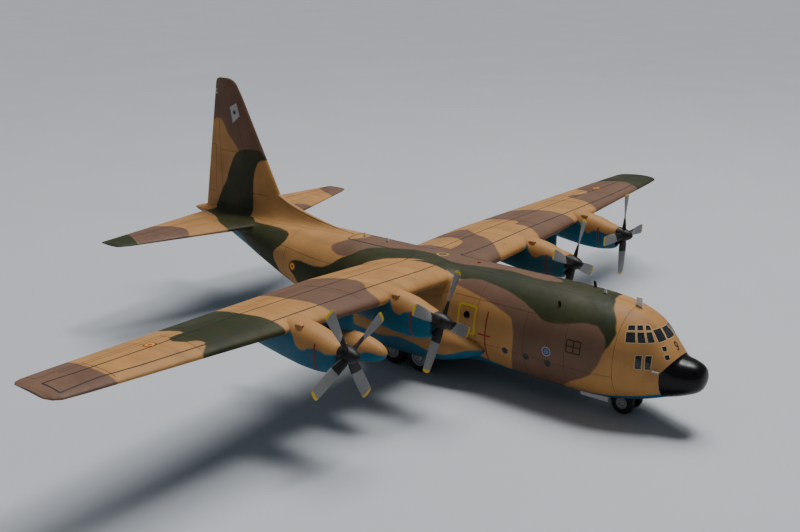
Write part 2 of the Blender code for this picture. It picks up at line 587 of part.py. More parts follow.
for old in list(bpy.data.objects):
    bpy.data.objects.remove(old, do_unlink=True)
PARTS = collection("military_transport_plane")
CUTTERS = collection("cutters")
PAINT_SAND = material("paint_sand", (0.56, 0.36, 0.19))
PAINT_BLUE = material("paint_light_blue", (0.10, 0.30, 0.42))
PAINT_BLACK = material("paint_black", (0.02, 0.02, 0.02), 0.3)
RUBBER = material("tyre_black", (0.03, 0.03, 0.03), 0.8)
STEEL = material("leg_silver", (0.5, 0.5, 0.5), 0.4)
CLEAR = material("clear_plastic", (0.55, 0.62, 0.65), 0.1)
INTERIOR = material("interior_grey", (0.12, 0.13, 0.13), 0.7)
BURNT = material("exhaust_metal", (0.10, 0.08, 0.07), 0.6)
PAINT_WHITE = material("paint_white", (0.75, 0.76, 0.74), 0.4)
BEACON = material("beacon_red", (0.6, 0.03, 0.02), 0.2)
FUSELAGE_TRIM = cutter("fuselage_trim", *rings_mesh(grown(fuselage_rings(), GAP)))
NEAR_WING, FAR_WING = (list(grown(surface_rings(WING, side, 0.018), GAP)) for side in (-1, 1))
WING_TRIM = cutter("wing_trim", *rings_mesh(NEAR_WING[::-1] + FAR_WING))
FIN_TRIM = cutter("fin_trim", *rings_mesh(grown(fin_rings(), GAP)))
make_fuselage()
make_radome()
make_flight_deck()
make_wings()
make_tail()
make_nacelles()
make_tanks()
make_main_gear()
make_nose_gear()
make_small_fittings()
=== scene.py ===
import json
import math

import bmesh
import bpy
import numpy as np
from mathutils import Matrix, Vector
from mathutils.bvhtree import BVHTree

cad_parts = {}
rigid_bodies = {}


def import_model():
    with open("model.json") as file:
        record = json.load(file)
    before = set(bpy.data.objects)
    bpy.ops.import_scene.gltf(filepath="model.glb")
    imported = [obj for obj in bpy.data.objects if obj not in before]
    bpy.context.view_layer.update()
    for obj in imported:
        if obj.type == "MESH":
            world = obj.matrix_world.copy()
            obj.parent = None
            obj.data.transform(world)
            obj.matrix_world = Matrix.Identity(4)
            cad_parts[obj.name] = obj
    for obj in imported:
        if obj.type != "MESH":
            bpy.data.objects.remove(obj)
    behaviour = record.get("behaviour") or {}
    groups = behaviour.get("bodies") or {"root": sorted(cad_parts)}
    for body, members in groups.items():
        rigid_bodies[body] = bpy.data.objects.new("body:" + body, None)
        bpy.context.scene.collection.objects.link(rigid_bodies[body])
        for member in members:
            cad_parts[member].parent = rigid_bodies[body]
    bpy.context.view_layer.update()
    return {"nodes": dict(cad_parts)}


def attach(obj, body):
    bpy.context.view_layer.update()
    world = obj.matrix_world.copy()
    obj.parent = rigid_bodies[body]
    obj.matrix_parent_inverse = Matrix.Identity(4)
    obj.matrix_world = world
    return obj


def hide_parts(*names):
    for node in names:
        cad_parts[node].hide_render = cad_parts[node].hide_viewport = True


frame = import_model()

# Looks for a built plastic kit of a military transport plane, 1:72. Sizes are metres on the
# full-size machine, as in the CAD: x from the nose tip (aft is negative), y to port, z up
# from the ground.

# ---- Fuselage -----------------------------------------------------------------------------
# Two moulded plastic halves glued along the centre line, filled and sprayed in sand, brown and
# green with soft wavy edges over a light-blue belly. The nose cap, the flight deck's windows,
# the rear ramp and the nose-wheel well are let into it.

SCALE = 72
# Full-size metres from the frame's origin forward to the nose tip
NOSE_X = 14.895
# Points closer than this on the model are one point
TOUCHING = 0.000002


def at_scale(points):
    """Full-size metres to model metres in the frame."""
    return (np.asarray(points, float) + (NOSE_X, 0, 0)) / SCALE


def smooth(rows, x, column):
    """Monotone curve through a table's rows, the first column as the key."""
    table = np.array(sorted(rows), float)
    xs, ys = table[:, 0], table[:, column]
    step = np.diff(xs)
    slope = np.diff(ys) / step
    tangent = np.zeros(len(xs))
    tangent[0], tangent[-1] = slope[0], slope[-1]
    for i in range(1, len(xs) - 1):
        if slope[i - 1] * slope[i] > 0:
            a, b = 2 * step[i] + step[i - 1], step[i] + 2 * step[i - 1]
            tangent[i] = (a + b) / (a / slope[i - 1] + b / slope[i])
    x = np.asarray(x, float)
    i = np.clip(np.searchsorted(xs, x) - 1, 0, len(xs) - 2)
    t = (x - xs[i]) / step[i]
    return ((2 * t**3 - 3 * t**2 + 1) * ys[i] + (t**3 - 2 * t**2 + t) * step[i] * tangent[i]
            + (3 * t**2 - 2 * t**3) * ys[i + 1] + (t**3 - t**2) * step[i] * tangent[i + 1])


def oval_rings(x, y, half, top, bottom, middle, power, count):
    """A rounded ring of points for each x, from the port side and turning over the top."""
    turn = np.linspace(0, 2 * np.pi, count, endpoint=False)
    c, s = np.cos(turn), np.sin(turn)
    rings = np.zeros((len(x), count, 3))
    for i in range(len(x)):
        share = 2 / power[i]
        rings[i, :, 0] = x[i]
        rings[i, :, 1] = y + half[i] * np.sign(c) * np.abs(c) ** share
        reach = np.where(s > 0, top[i] - middle[i], middle[i] - bottom[i])
        rings[i, :, 2] = middle[i] + reach * np.sign(s) * np.abs(s) ** share
    return rings


def loft(rings, closed=True, ends=True):
    """Points and faces of a skin through equal rings, with flat ends."""
    rings = np.asarray(rings, float)
    rows, count = rings.shape[:2]
    faces = []
    for i in range(rows - 1):
        a, b = i * count, (i + 1) * count
        for j in range(count if closed else count - 1):
            k = (j + 1) % count
            faces.append((a + j, a + k, b + k, b + j))
    if closed and ends:
        faces.append(tuple(range(count)))
        faces.append(tuple(range((rows - 1) * count, rows * count)))
    return rings.reshape(-1, 3), faces


def mesh_object(name, points, faces, look=None, sharp=38):
    """A mesh object from full-size points, seams merged, faces outward, smooth up to an angle."""
    mesh = bpy.data.meshes.new(name)
    mesh.from_pydata(at_scale(points).tolist(), [], faces)
    shape = bmesh.new()
    shape.from_mesh(mesh)
    bmesh.ops.remove_doubles(shape, verts=shape.verts, dist=TOUCHING)
    bmesh.ops.recalc_face_normals(shape, faces=shape.faces)
    shape.to_mesh(mesh)
    shape.free()
    obj = bpy.data.objects.new(name, mesh)
    bpy.context.scene.collection.objects.link(obj)
    if look:
        mesh.materials.append(look)
    soften(obj, sharp)
    return obj


def soften(obj, sharp=38):
    """Smooth shading, but sharp at edges above an angle in degrees."""
    obj.data.polygons.foreach_set("use_smooth", [True] * len(obj.data.polygons))
    obj.data.set_sharp_from_angle(angle=math.radians(sharp))


def box_data(low, high):
    """Points and faces of a box between two corners."""
    xs, ys, zs = zip(low, high)
    points = [(x, y, z) for x in xs for y in ys for z in zs]
    return points, [(0, 1, 3, 2), (4, 6, 7, 5), (0, 4, 5, 1), (2, 3, 7, 6), (0, 2, 6, 4),
                    (1, 5, 7, 3)]


def prism_data(outline, axis, low, high):
    """A flat outline of the two other coordinates, pushed along one axis."""
    points = []
    for level in (low, high):
        for pair in outline:
            point = list(pair)
            point.insert(axis, level)
            points.append(point)
    n = len(outline)
    faces = [tuple(range(n)), tuple(range(n, 2 * n))]
    return points, faces + [(i, (i + 1) % n, n + (i + 1) % n, n + i) for i in range(n)]


def joined(*shapes):
    """Several point and face lists as one."""
    points, faces = [], []
    for some_points, some_faces in shapes:
        base = len(points)
        points += [tuple(p) for p in some_points]
        faces += [tuple(base + i for i in face) for face in some_faces]
    return points, faces


def evaluated_mesh(obj):
    """A plain mesh of the object with its modifiers applied."""
    bpy.context.view_layer.update()
    graph = bpy.context.evaluated_depsgraph_get()
    return bpy.data.meshes.new_from_object(obj.evaluated_get(graph))


def carve(obj, points, faces, operation="DIFFERENCE"):
    """Cuts a shape out of an object, or keeps what they share, in its own mesh."""
    tool = mesh_object("tool", points, faces)
    cut = obj.modifiers.new("cut", "BOOLEAN")
    cut.operation, cut.solver, cut.object = operation, "EXACT", tool
    result = evaluated_mesh(obj)
    obj.modifiers.clear()
    old, obj.data = obj.data, result
    bpy.data.meshes.remove(old)
    bpy.data.objects.remove(tool)
    soften(obj)


def full_size(obj):
    """The object's points in full-size metres."""
    flat = np.empty(len(obj.data.vertices) * 3)
    obj.data.vertices.foreach_get("co", flat)
    return flat.reshape(-1, 3) * SCALE - (NOSE_X, 0, 0)


def rounded(corners, rounds=2):
    """A closed outline with its corners rounded off."""
    line = np.array(corners, float)
    for _ in range(rounds):
        after = np.roll(line, -1, axis=0)
        line = np.stack((0.75 * line + 0.25 * after, 0.25 * line + 0.75 * after), 1).reshape(-1, 2)
    return line


def inside(flat, *outlines):
    """How far each point lies inside the outlines in metres, negative outside them all."""
    best = np.full(len(flat), -9.0)
    for corners in outlines:
        line = rounded(corners)
        after = np.roll(line, -1, axis=0)
        far, within = np.full(len(flat), 9.0), np.zeros(len(flat), bool)
        for a, b in zip(line, after):
            d, p = b - a, flat - a
            t = np.clip(p @ d / max(d @ d, 1e-9), 0, 1)
            far = np.minimum(far, np.linalg.norm(p - t[:, None] * d, axis=1))
            if a[1] != b[1]:
                crossing = (a[1] > flat[:, 1]) != (b[1] > flat[:, 1])
                within ^= crossing & (flat[:, 0] < a[0] + (flat[:, 1] - a[1]) * d[0] / d[1])
        best = np.maximum(best, np.where(within, far, -far))
    return best


def store(obj, **fields):
    """Named numbers on every point, which the paint's nodes read."""
    for name, values in fields.items():
        made = obj.data.attributes.new(name, "FLOAT", "POINT")
        made.data.foreach_set("value", np.asarray(values, np.float32))


def node(tree, kind, values=(), **settings):
    """A new node; a value that is a socket is linked, any other is set."""
    made = tree.nodes.new(kind if "Node" in kind else "ShaderNode" + kind)
    for key, value in settings.items():
        setattr(made, key, value)
    for key, value in dict(values).items():
        if isinstance(value, bpy.types.NodeSocket):
            tree.links.new(value, made.inputs[key])
        else:
            made.inputs[key].default_value = value
    return made


def blank(name, rough=0.5, metal=0.0, coat=0.0, gloss=0.30):
    """A material with its shader, its node tree and the object's own coordinates."""
    look = bpy.data.materials.new(name)
    look.use_nodes = True
    tree = look.node_tree
    shader = tree.nodes["Principled BSDF"]
    shader.inputs["Roughness"].default_value = rough
    shader.inputs["Metallic"].default_value = metal
    shader.inputs["Coat Weight"].default_value = coat
    shader.inputs["Specular IOR Level"].default_value = gloss
    return look, tree, shader, node(tree, "TexCoord").outputs["Object"]


def noise(tree, place, scale, detail=3.0):
    return node(tree, "TexNoise", {"Vector": place, "Scale": scale,
                                   "Detail": detail}).outputs["Fac"]


def fitted(tree, value, low, high, to_low=0.0, to_high=1.0, how="LINEAR"):
    """A number brought from one range to another."""
    return node(tree, "MapRange", {"Value": value, "From Min": low, "From Max": high,
                                   "To Min": to_low, "To Max": to_high},
                interpolation_type=how).outputs["Result"]


def mixed(tree, share, first, second, how="MIX"):
    return node(tree, "Mix", {0: share, 6: first, 7: second}, data_type="RGBA",
                blend_type=how).outputs[2]


def finish_paint(tree, shader, place, colour, grain=0.9, rough=(0.42, 0.58)):
    """Mottling, grain, uneven gloss and a light orange peel, as on sprayed plastic."""
    tone = fitted(tree, noise(tree, place, 60, 4), 0.3, 0.7, 0.90, 1.09)
    speck = fitted(tree, noise(tree, place, 1400, 2), 0.3, 0.7, 0.5 + grain / 2, 1.5 - grain / 2)
    for shade in (tone, speck):
        grey = node(tree, "CombineColor", {0: shade, 1: shade, 2: shade}).outputs[0]
        colour = mixed(tree, 1.0, colour, grey, "MULTIPLY")
    tree.links.new(colour, shader.inputs["Base Color"])
    tree.links.new(fitted(tree, noise(tree, place, 240, 3), 0.3, 0.7, *rough),
                   shader.inputs["Roughness"])
    peel = node(tree, "Bump", {"Height": noise(tree, place, 2200, 2), "Strength": 0.12,
                               "Distance": 0.0001})
    tree.links.new(peel.outputs["Normal"], shader.inputs["Normal"])


SAND, BROWN = (0.45, 0.228, 0.078, 1), (0.165, 0.092, 0.060, 1)
GREEN, BLUE = (0.030, 0.037, 0.015, 1), (0.016, 0.125, 0.20, 1)


def camouflage():
    """Sprayed sand, brown, green and blue, each where its field on the mesh is above zero."""
    look, tree, shader, place = blank("camouflage_paint", gloss=0.14)
    feather = fitted(tree, noise(tree, place, 260, 2), 0.25, 0.75, -0.02, 0.02)
    colour = SAND
    for field, paint in (("green", GREEN), ("brown", BROWN), ("blue", BLUE)):
        height = node(tree, "Attribute", attribute_name=field).outputs["Fac"]
        height = node(tree, "Math", {0: height, 1: feather}).outputs[0]
        colour = mixed(tree, fitted(tree, height, -0.05, 0.05, how="SMOOTHSTEP"), colour, paint)
    # Faded blotches, and streaks that run aft
    faded = fitted(tree, noise(tree, place, 34, 5), 0.45, 0.78, 0.0, 0.07)
    colour = mixed(tree, faded, colour, (0.55, 0.36, 0.20, 1))
    along = node(tree, "Mapping", {"Vector": place, "Scale": (18, 150, 60)}).outputs[0]
    streak = fitted(tree, noise(tree, along, 1.0, 4), 0.52, 0.80, 0.0, 0.30)
    colour = mixed(tree, streak, colour, (0.10, 0.055, 0.03, 1))
    finish_paint(tree, shader, place, colour)
    return look


def plain_paint(name, colour, rough=(0.40, 0.55), coat=0.0, grain=0.92, dust=(0.35, 0.3, 0.25, 1),
                gloss=0.35):
    look, tree, shader, place = blank(name, coat=coat, gloss=gloss)
    soiled = fitted(tree, noise(tree, place, 140, 4), 0.45, 0.8, 0.0, 0.14)
    finish_paint(tree, shader, place, mixed(tree, soiled, (*colour, 1), dust), grain, rough)
    return look


def tell(obj, body="airframe", stands_for=()):
    """Rides the piece on its body and hides the nodes it stands for."""
    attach(obj, body)
    if stands_for:
        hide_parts(*stands_for)


CAMOUFLAGE = camouflage()
# x, half width, top z, bottom z, widest z, roundness
FUSELAGE = (
    (0.00, 0.06, 2.29, 2.19, 2.24, 2.0), (-0.015, 0.19, 2.41, 2.08, 2.24, 2.0),
    (-0.05, 0.33, 2.54, 1.93, 2.24, 2.0), (-0.12, 0.46, 2.67, 1.78, 2.23, 2.0),
    (-0.28, 0.61, 2.78, 1.63, 2.22, 2.0), (-0.55, 0.75, 2.87, 1.49, 2.21, 2.0),
    (-1.03, 0.91, 2.98, 1.29, 2.23, 2.0), (-1.15, 0.95, 3.15, 1.25, 2.24, 2.0),
    (-1.41, 1.06, 3.47, 1.17, 2.28, 2.0), (-1.77, 1.25, 3.87, 1.04, 2.35, 2.05),
    (-2.20, 1.49, 4.22, 0.90, 2.45, 2.1), (-2.80, 1.75, 4.48, 0.75, 2.56, 2.1),
    (-3.60, 2.01, 4.66, 0.60, 2.64, 2.1), (-4.60, 2.13, 4.76, 0.53, 2.67, 2.1),
    (-6.00, 2.16, 4.81, 0.51, 2.68, 2.1), (-12.0, 2.16, 4.83, 0.51, 2.68, 2.1),
    (-17.4, 2.16, 4.83, 0.53, 2.68, 2.1), (-19.0, 2.13, 4.83, 1.05, 2.82, 2.1),
    (-21.0, 2.00, 4.83, 1.77, 3.18, 2.1), (-23.0, 1.74, 4.82, 2.48, 3.67, 2.1),
    (-25.0, 1.34, 4.81, 3.18, 4.10, 2.1), (-27.0, 0.89, 4.78, 3.80, 4.35, 2.1),
    (-28.5, 0.53, 4.72, 4.12, 4.45, 2.0), (-29.3, 0.33, 4.60, 4.24, 4.42, 2.0),
    (-29.79, 0.10, 4.44, 4.32, 4.38, 2.0),
)
BODY_X = np.concatenate((-1.1 * np.linspace(0, 1, 26) ** 2.2, np.arange(-1.18, -4.6, -0.08),
                         np.arange(-4.6, -29.4, -0.16), np.linspace(-29.4, -29.79, 6)))


def body_rings(xs, deeper=0.0, count=144):
    """The body's cross-sections, or those of a skin that lies deeper in it."""
    half, top, bottom, middle, power = (smooth(FUSELAGE, xs, i) for i in range(1, 6))
    return oval_rings(xs, 0, half - deeper, top - deeper, bottom + deeper, middle, power, count)


def girth(points):
    """Place round the body in degrees: 0 starboard side, 90 roof, 180 port side, -90 keel."""
    x, y, z = points.T
    half, top, bottom, middle, power = (smooth(FUSELAGE, np.clip(x, FUSELAGE[-1][0], 0), i)
                                        for i in range(1, 6))
    c = np.clip(np.abs(y) / half, 0, 1) ** (power / 2) * np.where(y < 0, 1, -1)
    reach = np.where(z > middle, top - middle, middle - bottom)
    s = np.clip(np.abs(z - middle) / reach, 0, 1) ** (power / 2) * np.where(z > middle, 1, -1)
    angle = np.degrees(np.arctan2(s, c))
    return np.where(angle < -90, angle + 360, angle)


# Metres on the skin for one degree round the body
DEGREE = 0.038


def wrapped(*outlines):
    """Outlines of x and degrees round the body, brought to metres on its skin."""
    return [[(x, a * DEGREE) for x, a in outline] for outline in outlines]


BODY_BROWN = wrapped(
    # Front band, starboard
    ((-10.9, 48), (-10.3, 57), (-9.6, 59), (-9.0, 56), (-8.3, 53), (-7.8, 49), (-7.3, 44),
     (-6.9, 39), (-6.5, 34), (-6.3, 30), (-5.9, 28), (-5.5, 29), (-5.0, 33), (-4.7, 36), (-4.3, 39),
     (-3.9, 39), (-3.7, 35), (-3.5, 29), (-3.4, 22), (-3.4, 14), (-3.5, 4), (-3.6, -3), (-3.8, -12),
     (-4.0, -19), (-4.4, -26), (-4.9, -35), (-5.2, -44), (-6.0, -80), (-8.2, -80), (-7.9, -53),
     (-7.6, -33), (-7.5, -16), (-7.4, -4), (-7.4, 7), (-7.5, 15), (-7.6, 22), (-7.9, 26),
     (-8.3, 29), (-8.7, 33), (-9.2, 36), (-9.7, 39), (-10.2, 42), (-10.9, 45)),
    # Roof and port side behind it
    ((-6.3, 90), (-6.8, 86), (-7.4, 84), (-8.0, 85), (-8.8, 88), (-9.5, 86), (-10.4, 82),
     (-11.4, 76), (-12.3, 80), (-13.1, 88), (-14.0, 86), (-14.9, 79), (-15.6, 74), (-16.2, 68),
     (-16.7, 59), (-16.9, 50), (-17.3, 44), (-17.8, 45), (-18.3, 50), (-18.4, 58), (-18.0, 69),
     (-17.6, 79), (-17.1, 86), (-17.4, 110), (-16.8, 130), (-15.0, 140), (-12.4, 138), (-9.8, 132),
     (-8.6, 118), (-7.2, 104)),
    # Port side, front and rear
    ((-5.2, 190), (-4.6, 170), (-5.0, 150), (-6.4, 142), (-7.8, 150), (-8.6, 170), (-8.2, 195),
     (-7.4, 235), (-5.8, 235)),
    ((-20.2, 200), (-19.4, 170), (-19.9, 140), (-21.4, 128), (-23.0, 134), (-23.6, 160),
     (-22.8, 215), (-20.8, 230)),
)
BODY_GREEN = wrapped(
    # Front roof: starboard edge of the brown band, back along the roof to the wing
    ((-4.0, 112), (-4.0, 91), (-3.8, 78), (-3.6, 65), (-3.3, 53), (-3.2, 43), (-3.1, 35),
     (-3.2, 24), (-3.4, 14), (-3.6, 6), (-4.2, 14), (-6.0, 20), (-8.0, 30), (-9.6, 48), (-10.3, 54),
     (-10.7, 52), (-11.2, 55), (-11.9, 61), (-12.5, 64), (-13.1, 65), (-13.8, 62), (-14.5, 58),
     (-15.2, 52), (-16.2, 34), (-16.8, 0), (-17.0, -30), (-20.0, -24), (-20.1, -14), (-20.2, -7),
     (-20.5, -2), (-20.6, 5), (-20.4, 14), (-20.0, 19), (-19.6, 20), (-19.2, 19), (-18.8, 20),
     (-18.3, 23), (-17.9, 29), (-17.6, 37), (-17.3, 44), (-16.9, 52), (-16.5, 68), (-15.4, 84),
     (-14.0, 96), (-11.0, 100), (-8.0, 104), (-5.4, 112)),
    # Rear, both sides
    ((-24.7, 49), (-24.0, 52), (-23.1, 57), (-22.3, 59), (-21.6, 58), (-21.3, 53), (-21.2, 45),
     (-21.3, 33), (-21.6, 21), (-21.8, 10), (-21.7, 0), (-21.5, -10), (-21.4, -27), (-21.1, -40),
     (-24.0, -60), (-28.4, -60), (-28.3, 10), (-28.0, 31), (-27.7, 51), (-27.6, 88), (-25.2, 88),
     (-24.9, 70)),
    ((-25.2, 92), (-27.6, 92), (-28.2, 150), (-28.3, 200), (-26.0, 205), (-25.0, 170),
     (-24.6, 130)),
    ((-9.6, 215), (-9.0, 180), (-9.8, 150), (-11.4, 146), (-13.0, 160), (-13.4, 200), (-12.0, 240)),
)
BODY_BLUE = wrapped(
    ((-0.6, -46), (-1.4, -44), (-2.2, -48), (-3.0, -51), (-3.8, -52), (-4.8, -58), (-5.6, -55),
     (-6.7, -60), (-7.5, -50), (-8.4, -45), (-9.3, -36), (-10.2, -28), (-12.0, -30), (-14.0, -34),
     (-17.0, -30), (-19.0, -40), (-21.0, -32), (-23.0, -30), (-24.2, -20), (-24.4, -1), (-25.1, -3),
     (-26.0, -8), (-27.4, -6), (-28.4, -12), (-30.4, -20), (-30.4, -120), (-0.6, -120)),
    ((-0.6, 226), (-2.2, 228), (-3.8, 232), (-5.6, 236), (-7.5, 228), (-9.3, 218), (-12.0, 210),
     (-14.0, 214), (-17.0, 208), (-19.0, 218), (-23.0, 210), (-24.6, 186), (-26.0, 190),
     (-28.4, 194), (-30.4, 200), (-30.4, 300), (-0.6, 300)),
)


def paint_body(obj):
    """The body's paint fields, from the place of each point round it."""
    points = full_size(obj)
    flat = np.stack((points[:, 0], girth(points) * DEGREE), 1)
    store(obj, brown=inside(flat, *BODY_BROWN), green=inside(flat, *BODY_GREEN),
          blue=inside(flat, *BODY_BLUE))


body_points, body_faces = loft(body_rings(BODY_X))
fuselage = mesh_object("fuselage_skin", body_points, body_faces, CAMOUFLAGE)
BODY_SKIN = BVHTree.FromPolygons(full_size(fuselage).tolist(),
                                 [tuple(f.vertices) for f in fuselage.data.polygons])
NOSE_JOINT = ((-1.46, 0.0), (-1.46, 2.41), (-1.04, 3.00), (-0.5, 3.76), (0.5, 3.76), (0.5, 0.0))
carve(fuselage, *prism_data(NOSE_JOINT, 1, -3, 3))
# Room behind the windows, then the panes: x, z corners through both sides, y, z from the front
SIDE_PANES = (
    ((-2.86, 4.11), (-2.62, 4.12), (-2.54, 3.95), (-2.80, 3.94)),
    ((-2.58, 4.12), (-2.39, 4.12), (-2.29, 3.95), (-2.50, 3.95)),
    ((-2.34, 4.12), (-2.21, 4.10), (-2.06, 3.95), (-2.24, 3.95)),
    ((-2.83, 3.90), (-2.52, 3.91), (-2.38, 3.54), (-2.74, 3.53)),
    ((-2.48, 3.91), (-2.25, 3.91), (-2.06, 3.54), (-2.33, 3.54)),
    ((-2.21, 3.91), (-2.04, 3.91), (-1.81, 3.55), (-2.01, 3.54)),
    ((-1.62, 3.42), (-1.49, 3.41), (-1.39, 3.22), (-1.51, 3.24)),
    ((-1.45, 3.12), (-1.32, 3.13), (-1.21, 2.95), (-1.35, 2.94)),
    ((-2.31, 3.11), (-2.08, 3.12), (-2.04, 2.56), (-2.28, 2.56)),
    ((-1.99, 3.11), (-1.77, 3.11), (-1.74, 2.56), (-1.95, 2.56)),
)
FRONT_PANES = (
    ((-0.21, 3.98), (0.21, 3.98), (0.31, 3.60), (-0.31, 3.60)),
    ((-0.65, 3.96), (-0.26, 3.99), (-0.36, 3.59), (-0.74, 3.54)),
    ((0.26, 3.99), (0.65, 3.96), (0.74, 3.54), (0.36, 3.59)),
)
ROOM = ((-1.56, 2.45), (-1.17, 3.00), (-1.17, 5.5), (-4.25, 5.5), (-4.25, 2.45))
room = mesh_object("room", *loft(body_rings(np.arange(-1.5, -4.2, -0.1), 0.09, 72)))
carve(room, *prism_data(ROOM, 1, -3, 3), "INTERSECT")
room_points, room_faces = full_size(room), [tuple(f.vertices) for f in room.data.polygons]
bpy.data.objects.remove(room)
carve(fuselage, room_points, room_faces)
carve(fuselage, *joined(*(prism_data(corners, 1, -3, 3) for corners in SIDE_PANES)))
carve(fuselage, *joined(*(prism_data(corners, 0, -2.3, -0.5) for corners in FRONT_PANES)))
# Openings for the rear ramp and door, and the nose-wheel well
RAMP = ((-17.68, -0.5), (-17.68, 0.82), (-21.02, 2.00), (-21.02, -0.5))
REAR_DOOR = ((-21.03, -0.5), (-21.03, 2.02), (-24.42, 3.22), (-24.42, -0.5))
carve(fuselage, *joined(*(prism_data(outline, 1, -1.42, 1.42) for outline in (RAMP, REAR_DOOR)),
                        box_data((-3.80, -0.62, -0.5), (-2.45, 0.62, 1.32))))
paint_body(fuselage)
tell(fuselage, stands_for=["fuselage"])

# ---- Nose cap -----------------------------------------------------------------------------
# A separate moulded cap over the radar, painted gloss black. It is pressed on against a step in
# the front of the body, which leaves a fine joint round it.
GLOSS_BLACK = plain_paint("gloss_black_paint", (0.0035, 0.0035, 0.004), (0.22, 0.30), grain=0.97,
                          dust=(0.010, 0.010, 0.010, 1), gloss=0.22)
radome = mesh_object("nose_cap", body_points, body_faces, GLOSS_BLACK)
carve(radome, *prism_data([(x + 0.012 if x < -1 else x, z) for x, z in NOSE_JOINT], 1, -3, 3),
      "INTERSECT")
tell(radome, stands_for=["radome"])

# ---- Flight deck --------------------------------------------------------------------------
# One curved pane of clear plastic is glued behind the window openings. Behind it are a floor,
# panel and seats painted matt dark grey, set in before the body halves are closed.


def glass():
    look, tree, shader, place = blank("clear_plastic_pane")
    shader.inputs["Transmission Weight"].default_value = 0.85
    shader.inputs["IOR"].default_value = 1.46
    # The dark grey in the pane is painted shade: it darkens the view into the unlit flight deck
    # behind it.
    shade_in_glass = mixed(tree, fitted(tree, noise(tree, place, 300), 0.3, 0.7), (0.10, 0.12, 0.13, 1),
                 (0.20, 0.23, 0.24, 1))
    tree.links.new(shade_in_glass, shader.inputs["Base Color"])
    tree.links.new(fitted(tree, noise(tree, place, 900), 0.3, 0.7, 0.04, 0.10),
                   shader.inputs["Roughness"])
    return look


GLAZED = ((-1.60, 2.50), (-1.19, 2.93), (-1.19, 5.5), (-3.05, 5.5), (-3.05, 2.50))
pane_rings = body_rings(np.arange(-1.04, -3.10, -0.08), 0.02, 96)
panes = mesh_object("flight_deck_glass", *loft(pane_rings), glass())
carve(panes, *loft(body_rings(np.arange(-0.9, -3.20, -0.08), 0.055, 96)))
carve(panes, *prism_data(GLAZED, 1, -3, 3), "INTERSECT")
tell(panes, stands_for=["cockpit_glazing"])
interior = frame["nodes"]["cockpit_interior"]
interior.data.materials.clear()
interior.data.materials.append(plain_paint("flight_deck_grey", (0.04, 0.042, 0.045), (0.6, 0.8)))

# ---- Wings --------------------------------------------------------------------------------
# Upper and lower panels glued to each side, with a rounded tip. The engraved lines mark the
# flaps and ailerons, which are moulded solid.
# y, leading edge x, trailing edge x, leading edge z, trailing edge z, thickness over chord
WING = (
    (0.00, -11.11, -15.98, 4.28, 4.04, 0.180), (1.30, -11.11, -15.98, 4.33, 4.09, 0.180),
    (5.59, -11.11, -15.98, 4.49, 4.27, 0.175), (12.0, -11.47, -15.25, 4.72, 4.60, 0.150),
    (18.9, -11.86, -14.47, 4.97, 4.94, 0.120), (19.8, -11.95, -14.36, 5.00, 4.98, 0.105),
    (20.05, -12.10, -14.24, 5.01, 5.00, 0.080), (20.19, -12.35, -14.05, 5.02, 5.01, 0.050),
)
WING_CAMBER = 0.018


def section_half(s):
    """Half thickness of the aerofoil at a share of the chord, for a thickness of 1."""
    return 5 * (0.2969 * s**0.5 - 0.126 * s - 0.3516 * s**2 + 0.2843 * s**3 - 0.1015 * s**4)


def lifting_surface(table, side, camber, spans, count=40):
    """Rings of an aerofoil from the leading edge over the top and back underneath."""
    rows = np.array(table)
    share = (1 - np.cos(np.linspace(0, np.pi, count))) / 2
    rings = []
    for y in spans:
        le, te, zl, zt, thick = (np.interp(y, rows[:, 0], rows[:, i]) for i in range(1, 6))
        half = section_half(share) * thick + 0.0022 * share
        mid = 4 * camber * share * (1 - share)
        x, z, chord = le + (te - le) * share, zl + (zt - zl) * share, le - te
        top = np.stack((x, np.full_like(x, side * y), z + (mid + half) * chord), 1)
        low = np.stack((x, np.full_like(x, side * y), z + (mid - half) * chord), 1)
        rings.append(np.concatenate((top, low[:0:-1])))
    return np.array(rings)


# Paint on the upper surface: x and distance from the centre line
STARBOARD_WING = {
    "brown": (
        ((-16.4, 8.5), (-15.17, 8.49), (-13.84, 8.90), (-13.0, 8.86), (-12.23, 8.75),
         (-11.39, 8.66), (-10.6, 8.6), (-10.6, 6.1), (-11.22, 6.15), (-11.51, 6.22), (-11.91, 6.08),
         (-12.3, 5.72), (-12.88, 5.45), (-13.6, 5.41), (-14.31, 5.36), (-16.4, 5.3)),
        ((-16.4, 18.1), (-14.38, 17.97), (-13.47, 18.04), (-12.58, 18.08), (-12.06, 17.98),
         (-10.6, 17.99), (-10.6, 21.5), (-16.4, 21.5)),
    ),
    "green": (
        ((-16.8, 1.1), (-15.6, 1.3), (-14.86, 1.38), (-14.28, 1.37), (-13.63, 1.31), (-12.8, 1.31),
         (-12.24, 1.35), (-11.68, 1.39), (-11.18, 1.32), (-10.5, 1.0), (-10.5, -2), (-16.8, -2)),
        ((-16.4, 11.0), (-15.24, 11.01), (-13.53, 11.30), (-12.55, 11.13), (-11.92, 11.12),
         (-10.6, 11.0), (-10.6, 14.9), (-11.63, 14.74), (-11.75, 14.63), (-11.96, 14.29),
         (-12.2, 14.14), (-12.47, 14.25), (-12.66, 14.63), (-13.04, 14.87), (-13.45, 14.74),
         (-13.62, 14.31), (-13.53, 13.93), (-14.14, 13.9), (-14.94, 14.07), (-16.4, 14.1)),
    ),
}
